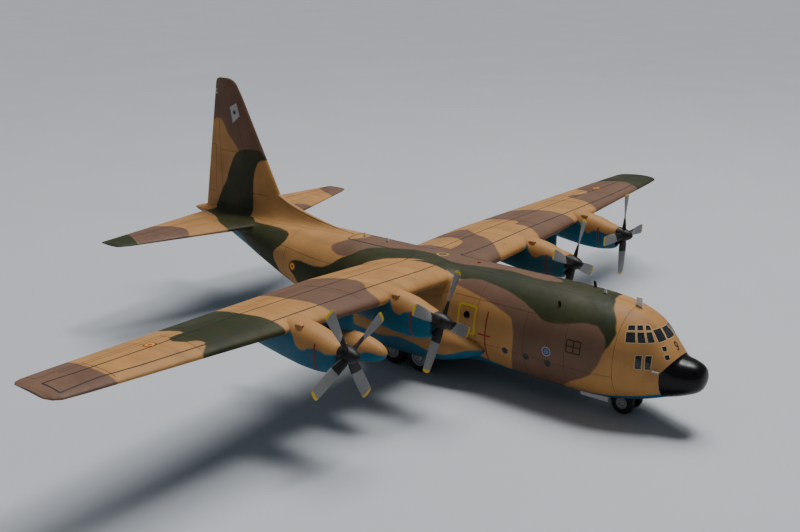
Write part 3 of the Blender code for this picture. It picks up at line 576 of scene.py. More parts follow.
PORT_WING = {
    "brown": (
        ((-16.4, 17.6), (-14.66, 17.4), (-14.72, 16.24), (-14.68, 15.26), (-13.89, 14.81),
         (-13.31, 14.38), (-13.23, 13.83), (-13.83, 13.58), (-13.99, 13.05), (-13.24, 12.57),
         (-12.51, 12.35), (-11.9, 12.1), (-10.6, 11.7), (-10.6, 17.6)),
        ((-16.6, 7.6), (-15.1, 7.36), (-13.89, 7.0), (-13.24, 6.93), (-12.96, 6.66), (-12.94, 6.16),
         (-12.49, 6.24), (-11.87, 6.17), (-11.42, 5.85), (-10.4, 5.6), (-10.4, 9.4), (-11.34, 9.41),
         (-11.98, 9.38), (-12.82, 9.45), (-13.88, 9.51), (-14.92, 9.61), (-16.6, 9.7)),
        ((-16.6, 4.3), (-15.84, 4.29), (-15.56, 4.99), (-14.96, 5.02), (-14.18, 4.35),
         (-13.65, 3.89), (-12.64, 3.42), (-11.98, 3.02), (-11.28, 2.4), (-10.3, 2.0), (-10.3, -1),
         (-13.0, -1), (-13.1, 1.5), (-13.15, 1.9), (-13.32, 2.47), (-13.82, 2.89), (-14.97, 3.5),
         (-16.6, 3.2)),
        ((-13.0, 1.0), (-13.39, 1.37), (-14.31, 1.31), (-15.69, 2.16), (-16.6, 2.2), (-16.6, -1),
         (-13.0, -1)),
    ),
    "green": (
        ((-16.4, 17.4), (-14.17, 17.26), (-13.44, 17.1), (-12.66, 16.83), (-11.95, 16.69),
         (-10.6, 16.9), (-10.6, 21.5), (-16.4, 21.5)),
    ),
}


def paint_wing(obj, side, fields, table, camber=0.0):
    """Fields on a wing or tailplane: its plan outlines above, blue all over below."""
    points = full_size(obj)
    flat = np.stack((points[:, 0], side * points[:, 1]), 1)
    rows = np.array(table)
    le, te, zl, zt = (np.interp(flat[:, 1], rows[:, 0], rows[:, i]) for i in range(1, 5))
    share = np.clip((le - points[:, 0]) / (le - te), 0, 1)
    chord_z = zl + (zt - zl) * share + 4 * camber * share * (1 - share) * (le - te)
    below = np.where(points[:, 2] < chord_z, np.clip(le - points[:, 0] - 0.10, -0.4, 0.4), -0.4)
    store(obj, blue=below, **{name: inside(flat, *fields.get(name, ()))
                              for name in ("brown", "green")})


def wing_spans(table, step=0.15):
    """Where a wing's sections are cut, closer together at its rounded tip."""
    rows = np.array(table)[:, 0]
    return np.unique(np.concatenate((np.arange(rows[0], rows[-1] - 0.6, step), rows[-4:],
                                     np.linspace(rows[-1] - 0.6, rows[-1], 10))).round(3))


for name, side, fields in (("starboard", -1, STARBOARD_WING), ("port", 1, PORT_WING)):
    rings = lifting_surface(WING, side, WING_CAMBER, wing_spans(WING))
    wing = mesh_object("wing_skin_" + name, *loft(rings), CAMOUFLAGE, sharp=60)
    paint_wing(wing, side, fields, WING, WING_CAMBER)
    tell(wing, stands_for=["wing_" + name])

# ---- Wing root filler ---------------------------------------------------------------------
# Putty smoothed into the corner where each wing meets the body: over the roof, round the leading
# edge and along the lower skin.


def putty(name, shapes, fine, passes, least=0.012):
    """A fine skin over several shapes together, raised where it is hollow, and kept only there."""
    both = mesh_object(name, *joined(*shapes))
    skin = both.modifiers.new("skin", "REMESH")
    skin.mode, skin.voxel_size = "VOXEL", fine / SCALE
    mesh = evaluated_mesh(both)
    both.modifiers.clear()
    both.data = mesh
    points = full_size(both)
    ends = np.empty(len(mesh.edges) * 2, int)
    mesh.edges.foreach_get("vertices", ends)
    a, b = np.concatenate((ends[0::2], ends[1::2])), np.concatenate((ends[1::2], ends[0::2]))
    quads = np.array([f.vertices[:] for f in mesh.polygons if len(f.vertices) == 4])
    count = np.bincount(a, minlength=len(points))[:, None]

    def pull():
        total = [np.bincount(a, points[b, i], len(points)) for i in range(3)]
        return np.stack(total, 1) / count - points

    def outward():
        first, second, third, fourth = (points[quads[:, k]] for k in range(4))
        flat = np.cross(third - first, fourth - second)
        total = sum(np.stack([np.bincount(quads[:, k], flat[:, i], len(points))
                              for i in range(3)], 1) for k in range(4))
        return total / (np.linalg.norm(total, axis=1, keepdims=True) + 1e-12)

    for _ in range(3):
        points += 0.5 * pull()
    start, normal = points.copy(), outward()
    for k in range(passes):
        if k % 5 == 0:
            normal = outward()
        points += normal * np.clip((pull() * normal).sum(1), 0, None)[:, None] * 0.9
    raised = ((points - start) * normal).sum(1)
    for _ in range(4):
        points += 0.5 * pull() * (raised > 0.5 * least)[:, None]
    points += normal * (0.006 - np.clip(least - raised, 0, least) * 2)[:, None]
    kept = [tuple(q) for q in quads if raised[q].max() > 0.4 * least]
    old = both.data
    bpy.data.objects.remove(both)
    bpy.data.meshes.remove(old)
    used = np.unique(np.array(kept))
    order = np.zeros(len(points), int)
    order[used] = np.arange(len(used))
    # The remeshed faces already point outward, so they are kept as they are
    mesh = bpy.data.meshes.new(name)
    mesh.from_pydata(at_scale(points[used]).tolist(), [], [tuple(order[list(q)]) for q in kept])
    mesh.materials.append(CAMOUFLAGE)
    filler = bpy.data.objects.new(name, mesh)
    bpy.context.scene.collection.objects.link(filler)
    soften(filler, 80)
    return filler


def paint_corner(obj, paint, edge):
    """The body's fields up to a distance from the centre line, the wing's beyond it."""
    points = full_size(obj)
    beyond = np.abs(points[:, 1]) > edge(points)
    fields = {}
    for pick in (paint_body, *paint):
        pick(obj)
        for key in ("brown", "green", "blue"):
            values = np.empty(len(points), np.float32)
            obj.data.attributes[key].data.foreach_get("value", values)
            here = np.ones(len(points), bool)
            if pick is not paint_body:
                here = beyond & (points[:, 1] * pick.side > 0)
            fields[key] = np.where(here, values, fields.get(key, values))
            obj.data.attributes.remove(obj.data.attributes[key])
    store(obj, **fields)


def wing_painter(side, fields, table, camber):
    def paint(obj):
        paint_wing(obj, side, fields, table, camber)
    paint.side = side
    return paint


near_wing = [lifting_surface(WING, side, WING_CAMBER, np.arange(0.0, 3.61, 0.2), 60)
             for side in (-1, 1)]
root_filler = putty("wing_root_filler", [loft(body_rings(np.arange(-9.6, -17.61, -0.1), 0.0, 180)),
                                         *(loft(rings) for rings in near_wing)], 0.05, 130)
paint_corner(root_filler, [wing_painter(-1, STARBOARD_WING, WING, WING_CAMBER),
                           wing_painter(1, PORT_WING, WING, WING_CAMBER)],
             lambda points: np.full(len(points), 2.0))
tell(root_filler)

# ---- Fin and tailplanes -------------------------------------------------------------------
# The fin is moulded with the body halves and runs into a long fillet on the roof; the two
# tailplanes are glued to the body's sides.
TAILPLANE = (
    (0.40, -23.45, -28.36, 4.50, 4.50, 0.110), (4.00, -24.60, -27.84, 4.50, 4.50, 0.105),
    (7.40, -25.68, -27.34, 4.50, 4.50, 0.100), (7.90, -25.92, -27.28, 4.50, 4.50, 0.080),
    (7.98, -26.05, -27.22, 4.50, 4.50, 0.060), (8.03, -26.25, -27.15, 4.50, 4.50, 0.040),
)
STARBOARD_TAIL = {
    "brown": (((-28.6, 4.9), (-27.28, 4.48), (-26.9, 4.22), (-25.98, 4.14), (-25.44, 4.22),
               (-25.06, 4.44), (-24.2, 5.0), (-24.6, 7.4), (-25.0, 7.3), (-25.6, 7.07),
               (-26.03, 6.91), (-26.91, 6.48), (-27.45, 6.35), (-28.6, 6.3)),),
    "green": (((-28.6, 6.3), (-27.45, 6.35), (-26.91, 6.48), (-26.03, 6.91), (-25.6, 7.07),
               (-25.0, 7.3), (-25.0, 9.0), (-28.6, 9.0)),
              ((-28.6, 0.6), (-27.66, 0.97), (-26.91, 1.31), (-25.99, 1.81), (-25.13, 2.44),
               (-24.47, 2.64), (-23.4, 2.8), (-23.4, -1), (-28.6, -1))),
}
PORT_TAIL = {
    "brown": (((-28.6, 7.6), (-27.35, 7.21), (-26.91, 6.84), (-26.16, 6.33), (-25.62, 6.12),
               (-24.8, 6.1), (-24.8, 9.0), (-28.6, 9.0)),
              ((-25.3, 2.0), (-25.16, 2.72), (-25.01, 3.08), (-24.74, 3.4), (-24.3, 3.7),
               (-23.4, 3.6), (-23.4, 2.0))),
    "green": (((-28.6, 0.8), (-27.0, 1.2), (-25.6, 1.4), (-24.2, 1.8), (-23.2, 1.9), (-23.2, -1),
               (-28.6, -1)),),
}
for name, side, fields in (("starboard", -1, STARBOARD_TAIL), ("port", 1, PORT_TAIL)):
    rings = lifting_surface(TAILPLANE, side, 0.0, wing_spans(TAILPLANE, 0.12), 30)
    plane = mesh_object("tailplane_skin_" + name, *loft(rings), CAMOUFLAGE, sharp=60)
    paint_wing(plane, side, fields, TAILPLANE)
    tell(plane, stands_for=["tailplane_" + name])

near_tail = [lifting_surface(TAILPLANE, side, 0.0, np.arange(0.0, 2.61, 0.2), 60)
             for side in (-1, 1)]
tail_filler = putty("tail_root_filler", [loft(body_rings(np.arange(-22.0, -29.61, -0.1), 0.0, 120)),
                                         *(loft(rings) for rings in near_tail)], 0.04, 90)
paint_corner(tail_filler, [wing_painter(-1, STARBOARD_TAIL, TAILPLANE, 0),
                           wing_painter(1, PORT_TAIL, TAILPLANE, 0)],
             lambda points: smooth(FUSELAGE, points[:, 0], 1) + 0.12)
tell(tail_filler)

# z, leading edge x, trailing edge x, half thickness
FIN = (
    (4.30, -22.20, -28.92, 0.62), (4.90, -22.50, -28.83, 0.50), (5.25, -22.70, -28.77, 0.35),
    (5.54, -22.85, -28.72, 0.31), (8.00, -24.17, -28.26, 0.23), (10.8, -25.68, -27.73, 0.13),
    (11.40, -26.06, -27.62, 0.10), (11.55, -26.26, -27.56, 0.08), (11.62, -26.42, -27.48, 0.065),
    (11.66, -26.62, -27.32, 0.04),
)
FIN_PAINT = {
    "brown": (((-28.2, 9.0), (-27.95, 9.39), (-27.58, 9.58), (-27.28, 9.55), (-27.0, 9.27),
               (-26.8, 8.9), (-26.4, 8.51), (-26.0, 8.21), (-25.88, 8.01), (-25.49, 8.14),
               (-24.88, 8.21), (-24.33, 8.17), (-24.18, 7.97), (-24.0, 7.74), (-23.2, 7.7),
               (-24.6, 12.0), (-28.6, 12.0)),),
    "green": (((-28.4, 10.9), (-27.66, 10.77), (-27.28, 10.63), (-26.85, 10.56), (-26.43, 10.63),
               (-26.05, 10.77), (-25.72, 10.85), (-25.0, 10.9), (-25.0, 12.2), (-28.4, 12.2)),
              ((-25.88, 8.01), (-26.17, 7.79), (-26.47, 7.36), (-26.72, 6.88), (-26.98, 6.3),
               (-27.38, 5.79), (-27.7, 5.27), (-27.83, 4.79), (-27.8, 3.8), (-24.66, 3.8),
               (-24.70, 4.92), (-24.83, 5.65), (-24.81, 6.44), (-24.71, 6.98), (-24.53, 7.43),
               (-24.32, 7.67), (-23.4, 7.75), (-23.6, 8.0), (-24.33, 8.17), (-24.88, 8.21),
               (-25.49, 8.14))),
}


def paint_fin(obj):
    """Fields on the fin, from its outlines seen from the side."""
    points = full_size(obj)
    flat = points[:, [0, 2]]
    fields = {key: inside(flat, *outlines) for key, outlines in FIN_PAINT.items()}
    store(obj, blue=np.full(len(points), -1.0), **fields)


share = (1 - np.cos(np.linspace(0, np.pi, 40))) / 2
fin_rings = []
for z in np.unique(np.concatenate((np.arange(4.3, 11.0, 0.12), np.linspace(11.0, 11.66, 12)))):
    le, te = (float(np.interp(z, [r[0] for r in FIN], [r[i] for r in FIN])) for i in (1, 2))
    half = float(smooth(FIN, z, 3))
    x, y = le + (te - le) * share, section_half(share) * 2 * half + 0.0022 * share * (le - te)
    left, right = (np.stack((x, way * y, np.full_like(x, z)), 1) for way in (1, -1))
    fin_rings.append(np.concatenate((left, right[:0:-1])))
fin = mesh_object("fin_skin", *loft(fin_rings), CAMOUFLAGE, sharp=60)
paint_fin(fin)
tell(fin, stands_for=["fin"])

# Fillet on the roof in front of the fin: x, ridge z, half width at the ridge, at the roof
FILLET = ((-18.10, 4.84, 0.04, 0.36), (-18.90, 4.92, 0.05, 0.42), (-20.66, 5.21, 0.08, 0.50),
          (-21.70, 5.45, 0.10, 0.54), (-22.50, 5.70, 0.11, 0.56), (-23.30, 6.05, 0.11, 0.58))
FILLET_FOOT_Z = 4.74
xs = np.arange(-18.10, -23.31, -0.1)
top, ridge, foot = (smooth(FILLET, xs, i) for i in (1, 2, 3))
u = np.linspace(0, 1, 15)[:, None]
side_y = ridge + (foot - ridge) * (1 - u) ** 2.2
side_z = FILLET_FOOT_Z + (top - FILLET_FOOT_Z) * u ** 0.85
cap = np.linspace(0, np.pi, 9)[1:-1, None]
outline_y = np.concatenate((side_y, ridge * np.cos(cap), -side_y[::-1]))
outline_z = np.concatenate((side_z, top + ridge * 0.6 * np.sin(cap), side_z[::-1]))
dorsal_rings = np.stack((np.broadcast_to(xs, outline_y.shape), outline_y, outline_z), 2)
dorsal_rings = dorsal_rings.transpose(1, 0, 2)
fillet = mesh_object("fin_fillet", *loft(dorsal_rings), CAMOUFLAGE, sharp=60)
paint_fin(fillet)
tell(fillet, stands_for=["dorsal_fin"])

fin_filler = putty("fin_root_filler", [loft(body_rings(np.arange(-16.6, -29.61, -0.1), 0.0, 120)),
                                       loft(fin_rings),
                                       loft(dorsal_rings)], 0.045, 60)
paint_corner(fin_filler, [], lambda points: np.full(len(points), 9.0))
points = full_size(fin_filler)
flat, on_fin = points[:, [0, 2]], points[:, 2] > 4.78
for key, outlines in FIN_PAINT.items():
    field = fin_filler.data.attributes[key].data
    values = np.empty(len(points), np.float32)
    field.foreach_get("value", values)
    values = np.where(on_fin, inside(flat, *outlines), values)
    field.foreach_set("value", values.astype(np.float32))
tell(fin_filler)

# ---- Engine nacelles ----------------------------------------------------------------------
# Each is a pair of halves glued under the wing, sand above and blue below with a wavy edge, with
# an oil-cooler mouth under the spinner, a small scoop on top and a burnt exhaust pipe behind.
# Name, y, x of the propeller plane, z of the axis, angle of the first blade in degrees
ENGINES = (("starboard_outer", -10.35, -8.99, 4.19, 62.2),
           ("starboard_inner", -5.08, -8.84, 3.97, 29.5),
           ("port_inner", 5.08, -8.84, 3.97, 24.5), ("port_outer", 10.31, -8.99, 4.19, 2.4))
# Distance behind the propeller plane, half width, top and bottom from the axis
NACELLE = ((0.30, 0.37, 0.34, -0.62), (0.38, 0.44, 0.38, -0.74), (0.80, 0.54, 0.50, -0.87),
           (1.40, 0.63, 0.69, -0.93), (2.00, 0.66, 0.79, -0.92), (2.60, 0.65, 0.82, -0.86),
           (3.40, 0.58, 0.62, -0.76), (4.20, 0.48, 0.38, -0.66), (5.00, 0.36, 0.14, -0.55),
           (5.42, 0.29, 0.06, -0.47))
# Where sand meets blue on its side: distance behind the propeller plane, height from the axis
NACELLE_EDGE = ((0.0, 0.06), (0.45, 0.04), (0.66, 0.01), (0.92, 0.08), (1.15, 0.14), (1.42, 0.09),
                (1.67, -0.06), (1.97, 0.04), (2.23, 0.42), (2.60, 0.60), (6.0, 0.70))
# The scoop's distances behind the propeller plane, half widths and top heights from the axis
SCOOP = np.array(((1.90, 1.93, 2.00, 2.10, 2.20, 2.27), (0.07, 0.085, 0.09, 0.085, 0.065, 0.03),
                  (0.765, 0.785, 0.80, 0.79, 0.77, 0.75)))
SCOOP_OFFSET = 0.36
# The exhaust pipe's distances from the propeller plane and its radii
PIPE = ((-5.30, 0.22), (-5.44, 0.245), (-5.80, 0.25), (-5.94, 0.252), (-5.95, 0.235),
        (-5.93, 0.215), (-5.62, 0.20), (-5.55, 0.12), (-5.53, 0))


def burnt_metal():
    look, tree, shader, place = blank("burnt_metal", metal=0.7)
    heat = fitted(tree, noise(tree, place, 320, 4), 0.3, 0.7)
    colour = mixed(tree, heat, (0.05, 0.04, 0.035, 1), (0.16, 0.12, 0.09, 1))
    finish_paint(tree, shader, place, colour, 0.9, (0.35, 0.6))
    return look


def turned(profile, axis, centre, steps=64):
    """Profile rows (along the axis, radius) turned round an axis of x or y or z."""
    points, faces, rows = [], [], []
    for along, radius in profile:
        row = []
        for i in range(steps if radius > 0 else 1):
            a = 2 * math.pi * i / steps
            p = [radius * math.cos(a), radius * math.sin(a)]
            p.insert(axis, along)
            row.append(len(points))
            points.append(tuple(np.add(p, centre)))
        rows.append(row)
    for a, b in zip(rows, rows[1:]):
        for i in range(steps if len(a) + len(b) > 2 else 0):
            k = (i + 1) % steps
            ring = (a[i % len(a)], a[k % len(a)], b[k % len(b)], b[i % len(b)])
            faces.append(tuple(dict.fromkeys(ring)))
    return points, faces


def sand_and_blue(obj, blue):
    """Paint fields of a piece that is sprayed in sand and blue alone."""
    none = np.full(len(obj.data.vertices), -1.0)
    store(obj, blue=np.broadcast_to(blue, none.shape), brown=none, green=none)


BURNT = burnt_metal()
for name, y, plane_x, axis_z, _ in ENGINES:
    back = np.concatenate((np.linspace(0.30, 0.40, 6), np.arange(0.46, 5.42, 0.08), [5.42]))
    half, top, low = (smooth(NACELLE, back, i) for i in (1, 2, 3))
    rings = oval_rings(plane_x - back, y, half, axis_z + top, axis_z + low,
                       axis_z + (top + low) * 0.35, np.full(len(back), 2.3), 72)
    nacelle = mesh_object("nacelle_skin_" + name, *loft(rings), CAMOUFLAGE)
    mouth = oval_rings(np.array([plane_x - 0.2, plane_x - 0.95]), y, (0.30, 0.26),
                       (axis_z - 0.36, axis_z - 0.40), (axis_z - 0.60, axis_z - 0.60),
                       (axis_z - 0.46, axis_z - 0.47), (2.4, 2.4), 40)
    carve(nacelle, *loft(mouth))
    scoop_rings = oval_rings(plane_x - SCOOP[0], y - SCOOP_OFFSET, SCOOP[1], axis_z + SCOOP[2],
                             np.full(6, axis_z + 0.55), np.full(6, axis_z + 0.68),
                             np.full(6, 2.6), 32)
    scoop = mesh_object("cooling_scoop_" + name, *loft(scoop_rings), CAMOUFLAGE)
    carve(scoop, *loft(oval_rings(np.array((plane_x - 1.85, plane_x - 1.96)), y - SCOOP_OFFSET,
                                  (0.045, 0.035), (axis_z + 0.755, axis_z + 0.745),
                                  (axis_z + 0.66, axis_z + 0.67), (axis_z + 0.71, axis_z + 0.71),
                                  (2.6, 2.6), 24)))
    sand_and_blue(scoop, -1.0)
    tell(scoop)
    points = full_size(nacelle)
    behind = plane_x - points[:, 0]
    edge = axis_z + smooth(NACELLE_EDGE, behind, 1) + (0.15 if "inner" in name else 0)
    sand_and_blue(nacelle, edge - points[:, 2])
    tell(nacelle, stands_for=["nacelle_" + name])
    pipe = turned(PIPE, 0, (plane_x, y, axis_z - 0.21), 48)
    exhaust = mesh_object("exhaust_pipe_" + name, *pipe, BURNT)
    tell(exhaust, stands_for=["exhaust_" + name])

# ---- Propellers ---------------------------------------------------------------------------
# Four blades and a pointed spinner in one piece that turns on its shaft: dark hub and cuffs,
# grey blades, yellow tips.


def propeller_paint():
    look, tree, shader, place = blank("propeller_paint")
    radius = node(tree, "Attribute", attribute_name="radius").outputs["Fac"]
    wobble = fitted(tree, noise(tree, place, 500), 0.3, 0.7, -0.01, 0.01)
    radius = node(tree, "Math", {0: radius, 1: wobble}).outputs[0]
    black, grey, yellow = (0.012, 0.012, 0.012, 1), (0.21, 0.21, 0.21, 1), (0.62, 0.42, 0.01, 1)
    colour = mixed(tree, fitted(tree, radius, 0.84, 0.88), black, grey)
    colour = mixed(tree, fitted(tree, radius, 1.97, 1.99), colour, yellow)
    worn = fitted(tree, noise(tree, place, 260, 5), 0.52, 0.72, 0.0, 0.25)
    colour = mixed(tree, worn, colour, (0.12, 0.09, 0.06, 1))
    finish_paint(tree, shader, place, colour, 0.88, (0.38, 0.55))
    return look


PROPELLER = propeller_paint()
# Blade: radius, chord, thickness, pitch in degrees
BLADE = ((0.22, 0.28, 0.21, 48), (0.45, 0.36, 0.17, 40), (0.72, 0.41, 0.12, 31),
         (0.90, 0.43, 0.08, 26), (1.25, 0.47, 0.055, 15), (1.60, 0.49, 0.04, 8),
         (1.92, 0.50, 0.03, 3), (2.00, 0.475, 0.028, 2), (2.05, 0.42, 0.024, 2),
         (2.08, 0.34, 0.020, 2), (2.095, 0.24, 0.016, 2), (2.10, 0.12, 0.012, 2))
# Spinner: distance in front of the propeller plane and radius, with the shaft's bore behind
SPINNER = ((0.50, 0), (0.495, 0.045), (0.47, 0.09), (0.43, 0.135), (0.37, 0.18), (0.29, 0.228),
           (0.20, 0.27), (0.08, 0.315), (-0.05, 0.34), (-0.18, 0.355), (-0.27, 0.36),
           (-0.27, 0.107), (0.12, 0.107), (0.12, 0))


def geometry_tree(name, *inputs):
    """A Geometry Nodes tree with named inputs, and its input sockets."""
    tree = bpy.data.node_groups.new(name, "GeometryNodeTree")
    for label, kind in (("Geometry", "Geometry"), *inputs):
        tree.interface.new_socket(label, in_out="INPUT", socket_type="NodeSocket" + kind)
    tree.interface.new_socket("Geometry", in_out="OUTPUT", socket_type="NodeSocketGeometry")
    return tree, tree.nodes.new("NodeGroupInput").outputs


def end_tree(tree, geometry, finish):
    """Makes the tree's instances real and gives them their finish."""
    real = node(tree, "GeometryNodeRealizeInstances", {"Geometry": geometry}).outputs[0]
    done = node(tree, "GeometryNodeSetMaterial", {"Geometry": real, "Material": finish}).outputs[0]
    tree.links.new(done, tree.nodes.new("NodeGroupOutput").inputs[0])
    return tree


def grown(obj, tree, values):
    """Runs a tree on an object once and keeps the result as its plain mesh."""
    made = obj.modifiers.new(tree.name, "NODES")
    made.node_group = tree
    for socket in tree.interface.items_tree:
        if socket.name in values:
            made[socket.identifier] = values[socket.name]
    result = evaluated_mesh(obj)
    obj.modifiers.clear()
    obj.data = result
    soften(obj)


def round_axis_tree():
    """Copies of one piece spaced evenly round an axis, then moved to their hub."""
    tree, given = geometry_tree("round_an_axis", ("Count", "Int"), ("First angle", "Float"),
                                ("Axis", "Vector"), ("Hub", "Vector"), ("Finish", "Material"))
    step = node(tree, "Math", {0: 2 * math.pi, 1: given["Count"]}, operation="DIVIDE").outputs[0]
    index = node(tree, "GeometryNodeInputIndex").outputs[0]
    angle = node(tree, "Math", {0: index, 1: step, 2: given["First angle"]},
                 operation="MULTIPLY_ADD").outputs[0]
    turn = node(tree, "FunctionNodeAxisAngleToRotation",
                {"Axis": given["Axis"], "Angle": angle}).outputs[0]
    spots = node(tree, "GeometryNodePoints", {"Count": given["Count"]}).outputs[0]
    copies = node(tree, "GeometryNodeInstanceOnPoints",
                  {"Points": spots, "Instance": given["Geometry"], "Rotation": turn}).outputs[0]
    moved = node(tree, "GeometryNodeTransform",
                 {"Geometry": copies, "Translation": given["Hub"]}).outputs[0]
    return end_tree(tree, moved, given["Finish"])


ROUND_AXIS = round_axis_tree()
for name, y, plane_x, axis_z, angle in ENGINES:
    hub = at_scale((plane_x, y, axis_z))
    radii = np.concatenate((np.linspace(0.22, 1.95, 24), np.linspace(1.99, 2.10, 9)))
    turn = np.linspace(0, 2 * np.pi, 24, endpoint=False)
    rings = []
    for r, chord, thick, pitch in zip(radii, *(smooth(BLADE, radii, i) for i in (1, 2, 3))):
        p = math.radians(pitch)
        wide = np.array((-math.sin(p), 0, math.cos(p)))
        thin = np.array((math.cos(p), 0, math.sin(p)))
        rings.append(np.array((-NOSE_X, -r, 0)) + np.outer(np.cos(turn) * chord / 2, wide)
                     + np.outer(np.sin(turn) * thick / 2, thin))
    blades = mesh_object("propeller_blades_" + name, *loft(rings), PROPELLER)
    grown(blades, ROUND_AXIS, {"Count": 4, "First angle": -math.radians(angle),
                               "Axis": (1.0, 0.0, 0.0), "Hub": tuple(hub), "Finish": PROPELLER})
    points = full_size(blades)
    store(blades, radius=np.hypot(points[:, 1] - y, points[:, 2] - axis_z))
    tell(blades, "propeller_" + name, ["propeller_" + name])
    cone = turned(SPINNER, 0, (plane_x, y, axis_z), 64)
    spinner = mesh_object("spinner_" + name, *cone, PROPELLER)
    points = full_size(spinner)
    store(spinner, radius=np.hypot(points[:, 1] - y, points[:, 2] - axis_z))
    tell(spinner, "propeller_" + name)

# ---- Wing tanks ---------------------------------------------------------------------------
# Two long fuel tanks, each from two plastic halves, glued on short pylons between the engines.
# They are sprayed sand above and blue below, with a wavy edge.
# Name, y, x of the nose, z of the middle; then the outline in shares of length and radius
TANKS = (("starboard", -7.60, -9.58, 3.17), ("port", 7.60, -9.76, 3.09))
TANK = ((0, 0.0), (0.008, 0.26), (0.03, 0.50), (0.08, 0.76), (0.15, 0.94), (0.24, 1.0), (0.58, 1.0),
        (0.72, 0.90), (0.84, 0.68), (0.94, 0.36), (0.985, 0.13), (1, 0.0))
TANK_LENGTH, TANK_RADIUS = 7.4, 0.55
PYLON = ((-11.3, 0.06), (-11.45, 0.11), (-11.8, 0.14), (-13.4, 0.14), (-14.2, 0.10), (-14.8, 0.04))
for name, y, nose_x, z in TANKS:
    shares = np.concatenate((np.linspace(0, 1, 14) ** 2 * 0.10, np.linspace(0.12, 0.95, 40),
                             [0.97, 0.985, 0.994, 1]))
    radii = smooth(TANK, shares, 1)
    radii[0] = radii[-1] = 0
    profile = [(nose_x - TANK_LENGTH * s, TANK_RADIUS * r) for s, r in zip(shares, radii)]
    tank = mesh_object("tank_skin_" + name, *turned(profile, 0, (0, y, z), 64), CAMOUFLAGE)
    points = full_size(tank)
    edge = z + 0.03 + 0.06 * np.sin((points[:, 0] - nose_x) * 5.2 + 4.2)
    sand_and_blue(tank, edge - points[:, 2])
    tell(tank, stands_for=["tank_" + name])
    outline = [(x, y + half) for x, half in PYLON] + [(x, y - half) for x, half in PYLON[::-1]]
    pylon = mesh_object("pylon_skin_" + name, *prism_data(outline, 2, z + 0.35, 4.50), CAMOUFLAGE)
    sand_and_blue(pylon, 1.0)
    tell(pylon, stands_for=["pylon_" + name])

# ---- Wheel fairings and main gear ---------------------------------------------------------
# A long blister is glued on each side of the belly, open below, with two wheels in line in it.
# The wheels are moulded with their hubs and turn on plain axles.
# x, outer y, bottom z, top z
SPONSON = ((-8.90, 2.16, 1.66, 1.90), (-9.15, 2.34, 1.46, 2.08), (-9.80, 2.58, 1.16, 2.30),
           (-10.8, 2.78, 0.84, 2.48), (-12.2, 2.86, 0.64, 2.58), (-14.6, 2.86, 0.62, 2.58),
           (-16.0, 2.74, 0.72, 2.46), (-17.4, 2.50, 1.00, 2.22), (-18.4, 2.24, 1.35, 1.98),
           (-18.8, 2.05, 1.55, 1.80))
# Where sand meets blue on its side: x, z
SPONSON_EDGE = ((-19.0, 1.5), (-17.0, 1.42), (-15.4, 1.60), (-14.0, 1.50), (-12.83, 1.66),
                (-12.26, 1.61), (-11.73, 1.50), (-11.21, 1.39), (-10.72, 1.35), (-10.25, 1.45),
                (-9.77, 1.64), (-9.36, 1.79), (-8.8, 1.85))
for name, side in (("starboard", -1), ("port", 1)):
    xs = np.concatenate((np.linspace(-8.90, -9.3, 8), np.arange(-9.4, -18.4, -0.12),
                         np.linspace(-18.4, -18.8, 5)))
    outer, low, high = (smooth(SPONSON, xs, i) for i in (1, 2, 3))
    rings = oval_rings(xs, side * 1.55, outer - 1.55, high, low, (low + high) / 2,
                       np.full(len(xs), 2.5), 72)
    sponson = mesh_object("wheel_fairing_" + name, *loft(rings), CAMOUFLAGE)
    ys = sorted((side * 1.2, side * 2.48))
    carve(sponson, *box_data((-14.55, ys[0], -0.5), (-11.25, ys[1], 1.62)))
    points = full_size(sponson)
    edge = smooth(SPONSON_EDGE, points[:, 0], 1)
    sand_and_blue(sponson, edge - points[:, 2])
    tell(sponson, stands_for=["sponson_" + name])


def wheel_profile(middle, half, radius, rim, side):
    """Cross-section of a tyre and hub from the inner face to the outer face."""
    rows = ((-0.94, 0.0), (-0.94, rim * 0.55), (-0.65, rim * 0.62), (-0.70, rim * 0.96),
            (-0.96, rim + 0.03), (-1.0, rim + 0.08), (-0.97, radius - 0.15),
            (-0.80, radius - 0.065), (-0.50, radius - 0.018), (-0.2, radius), (0.2, radius),
            (0.50, radius - 0.018), (0.80, radius - 0.065), (0.97, radius - 0.15),
            (1.0, rim + 0.08), (0.96, rim + 0.03), (0.70, rim * 0.96), (0.60, rim * 0.80),
            (0.62, rim * 0.60), (0.85, rim * 0.42), (0.88, 0.10), (0.94, 0.08), (0.94, 0.0))
    return [(middle + side * half * a, r) for a, r in rows]


def wheel_paint():
    look, tree, shader, place = blank("wheel_paint")
    radius = node(tree, "Attribute", attribute_name="radius").outputs["Fac"]
    colour = (0.16, 0.16, 0.16, 1)
    # Share of the rim's radius where each grey starts; the last is the tyre
    greys = ((0.16, 0.34), (0.46, 0.10), (0.58, 0.30), (0.80, 0.14), (0.88, 0.32), (1.0, 0.018))
    for edge, tone in greys:
        share = fitted(tree, radius, edge - 0.02, edge + 0.02)
        colour = mixed(tree, share, colour, (tone, tone, tone, 1))
    finish_paint(tree, shader, place, colour, 0.85, (0.5, 0.75))
    return look


WHEEL = wheel_paint()
WHEEL_Y, WHEEL_RADIUS, WHEEL_RIM = 2.17, 0.71, 0.36
for name, side in (("starboard", -1), ("port", 1)):
    for place, x in (("front", -12.14), ("rear", -13.66)):
        profile = wheel_profile(side * WHEEL_Y, 0.25, WHEEL_RADIUS, WHEEL_RIM, side)
        tyre = turned(profile, 1, (x, 0, WHEEL_RADIUS), 64)
        wheel = mesh_object(f"wheel_{name}_{place}", *tyre, WHEEL)
        points = full_size(wheel)
        store(wheel, radius=np.hypot(points[:, 0] - x, points[:, 2] - WHEEL_RADIUS) / 0.38)
        tell(wheel, f"main_wheel_{name}_{place}", [f"main_wheel_{name}_{place}"])

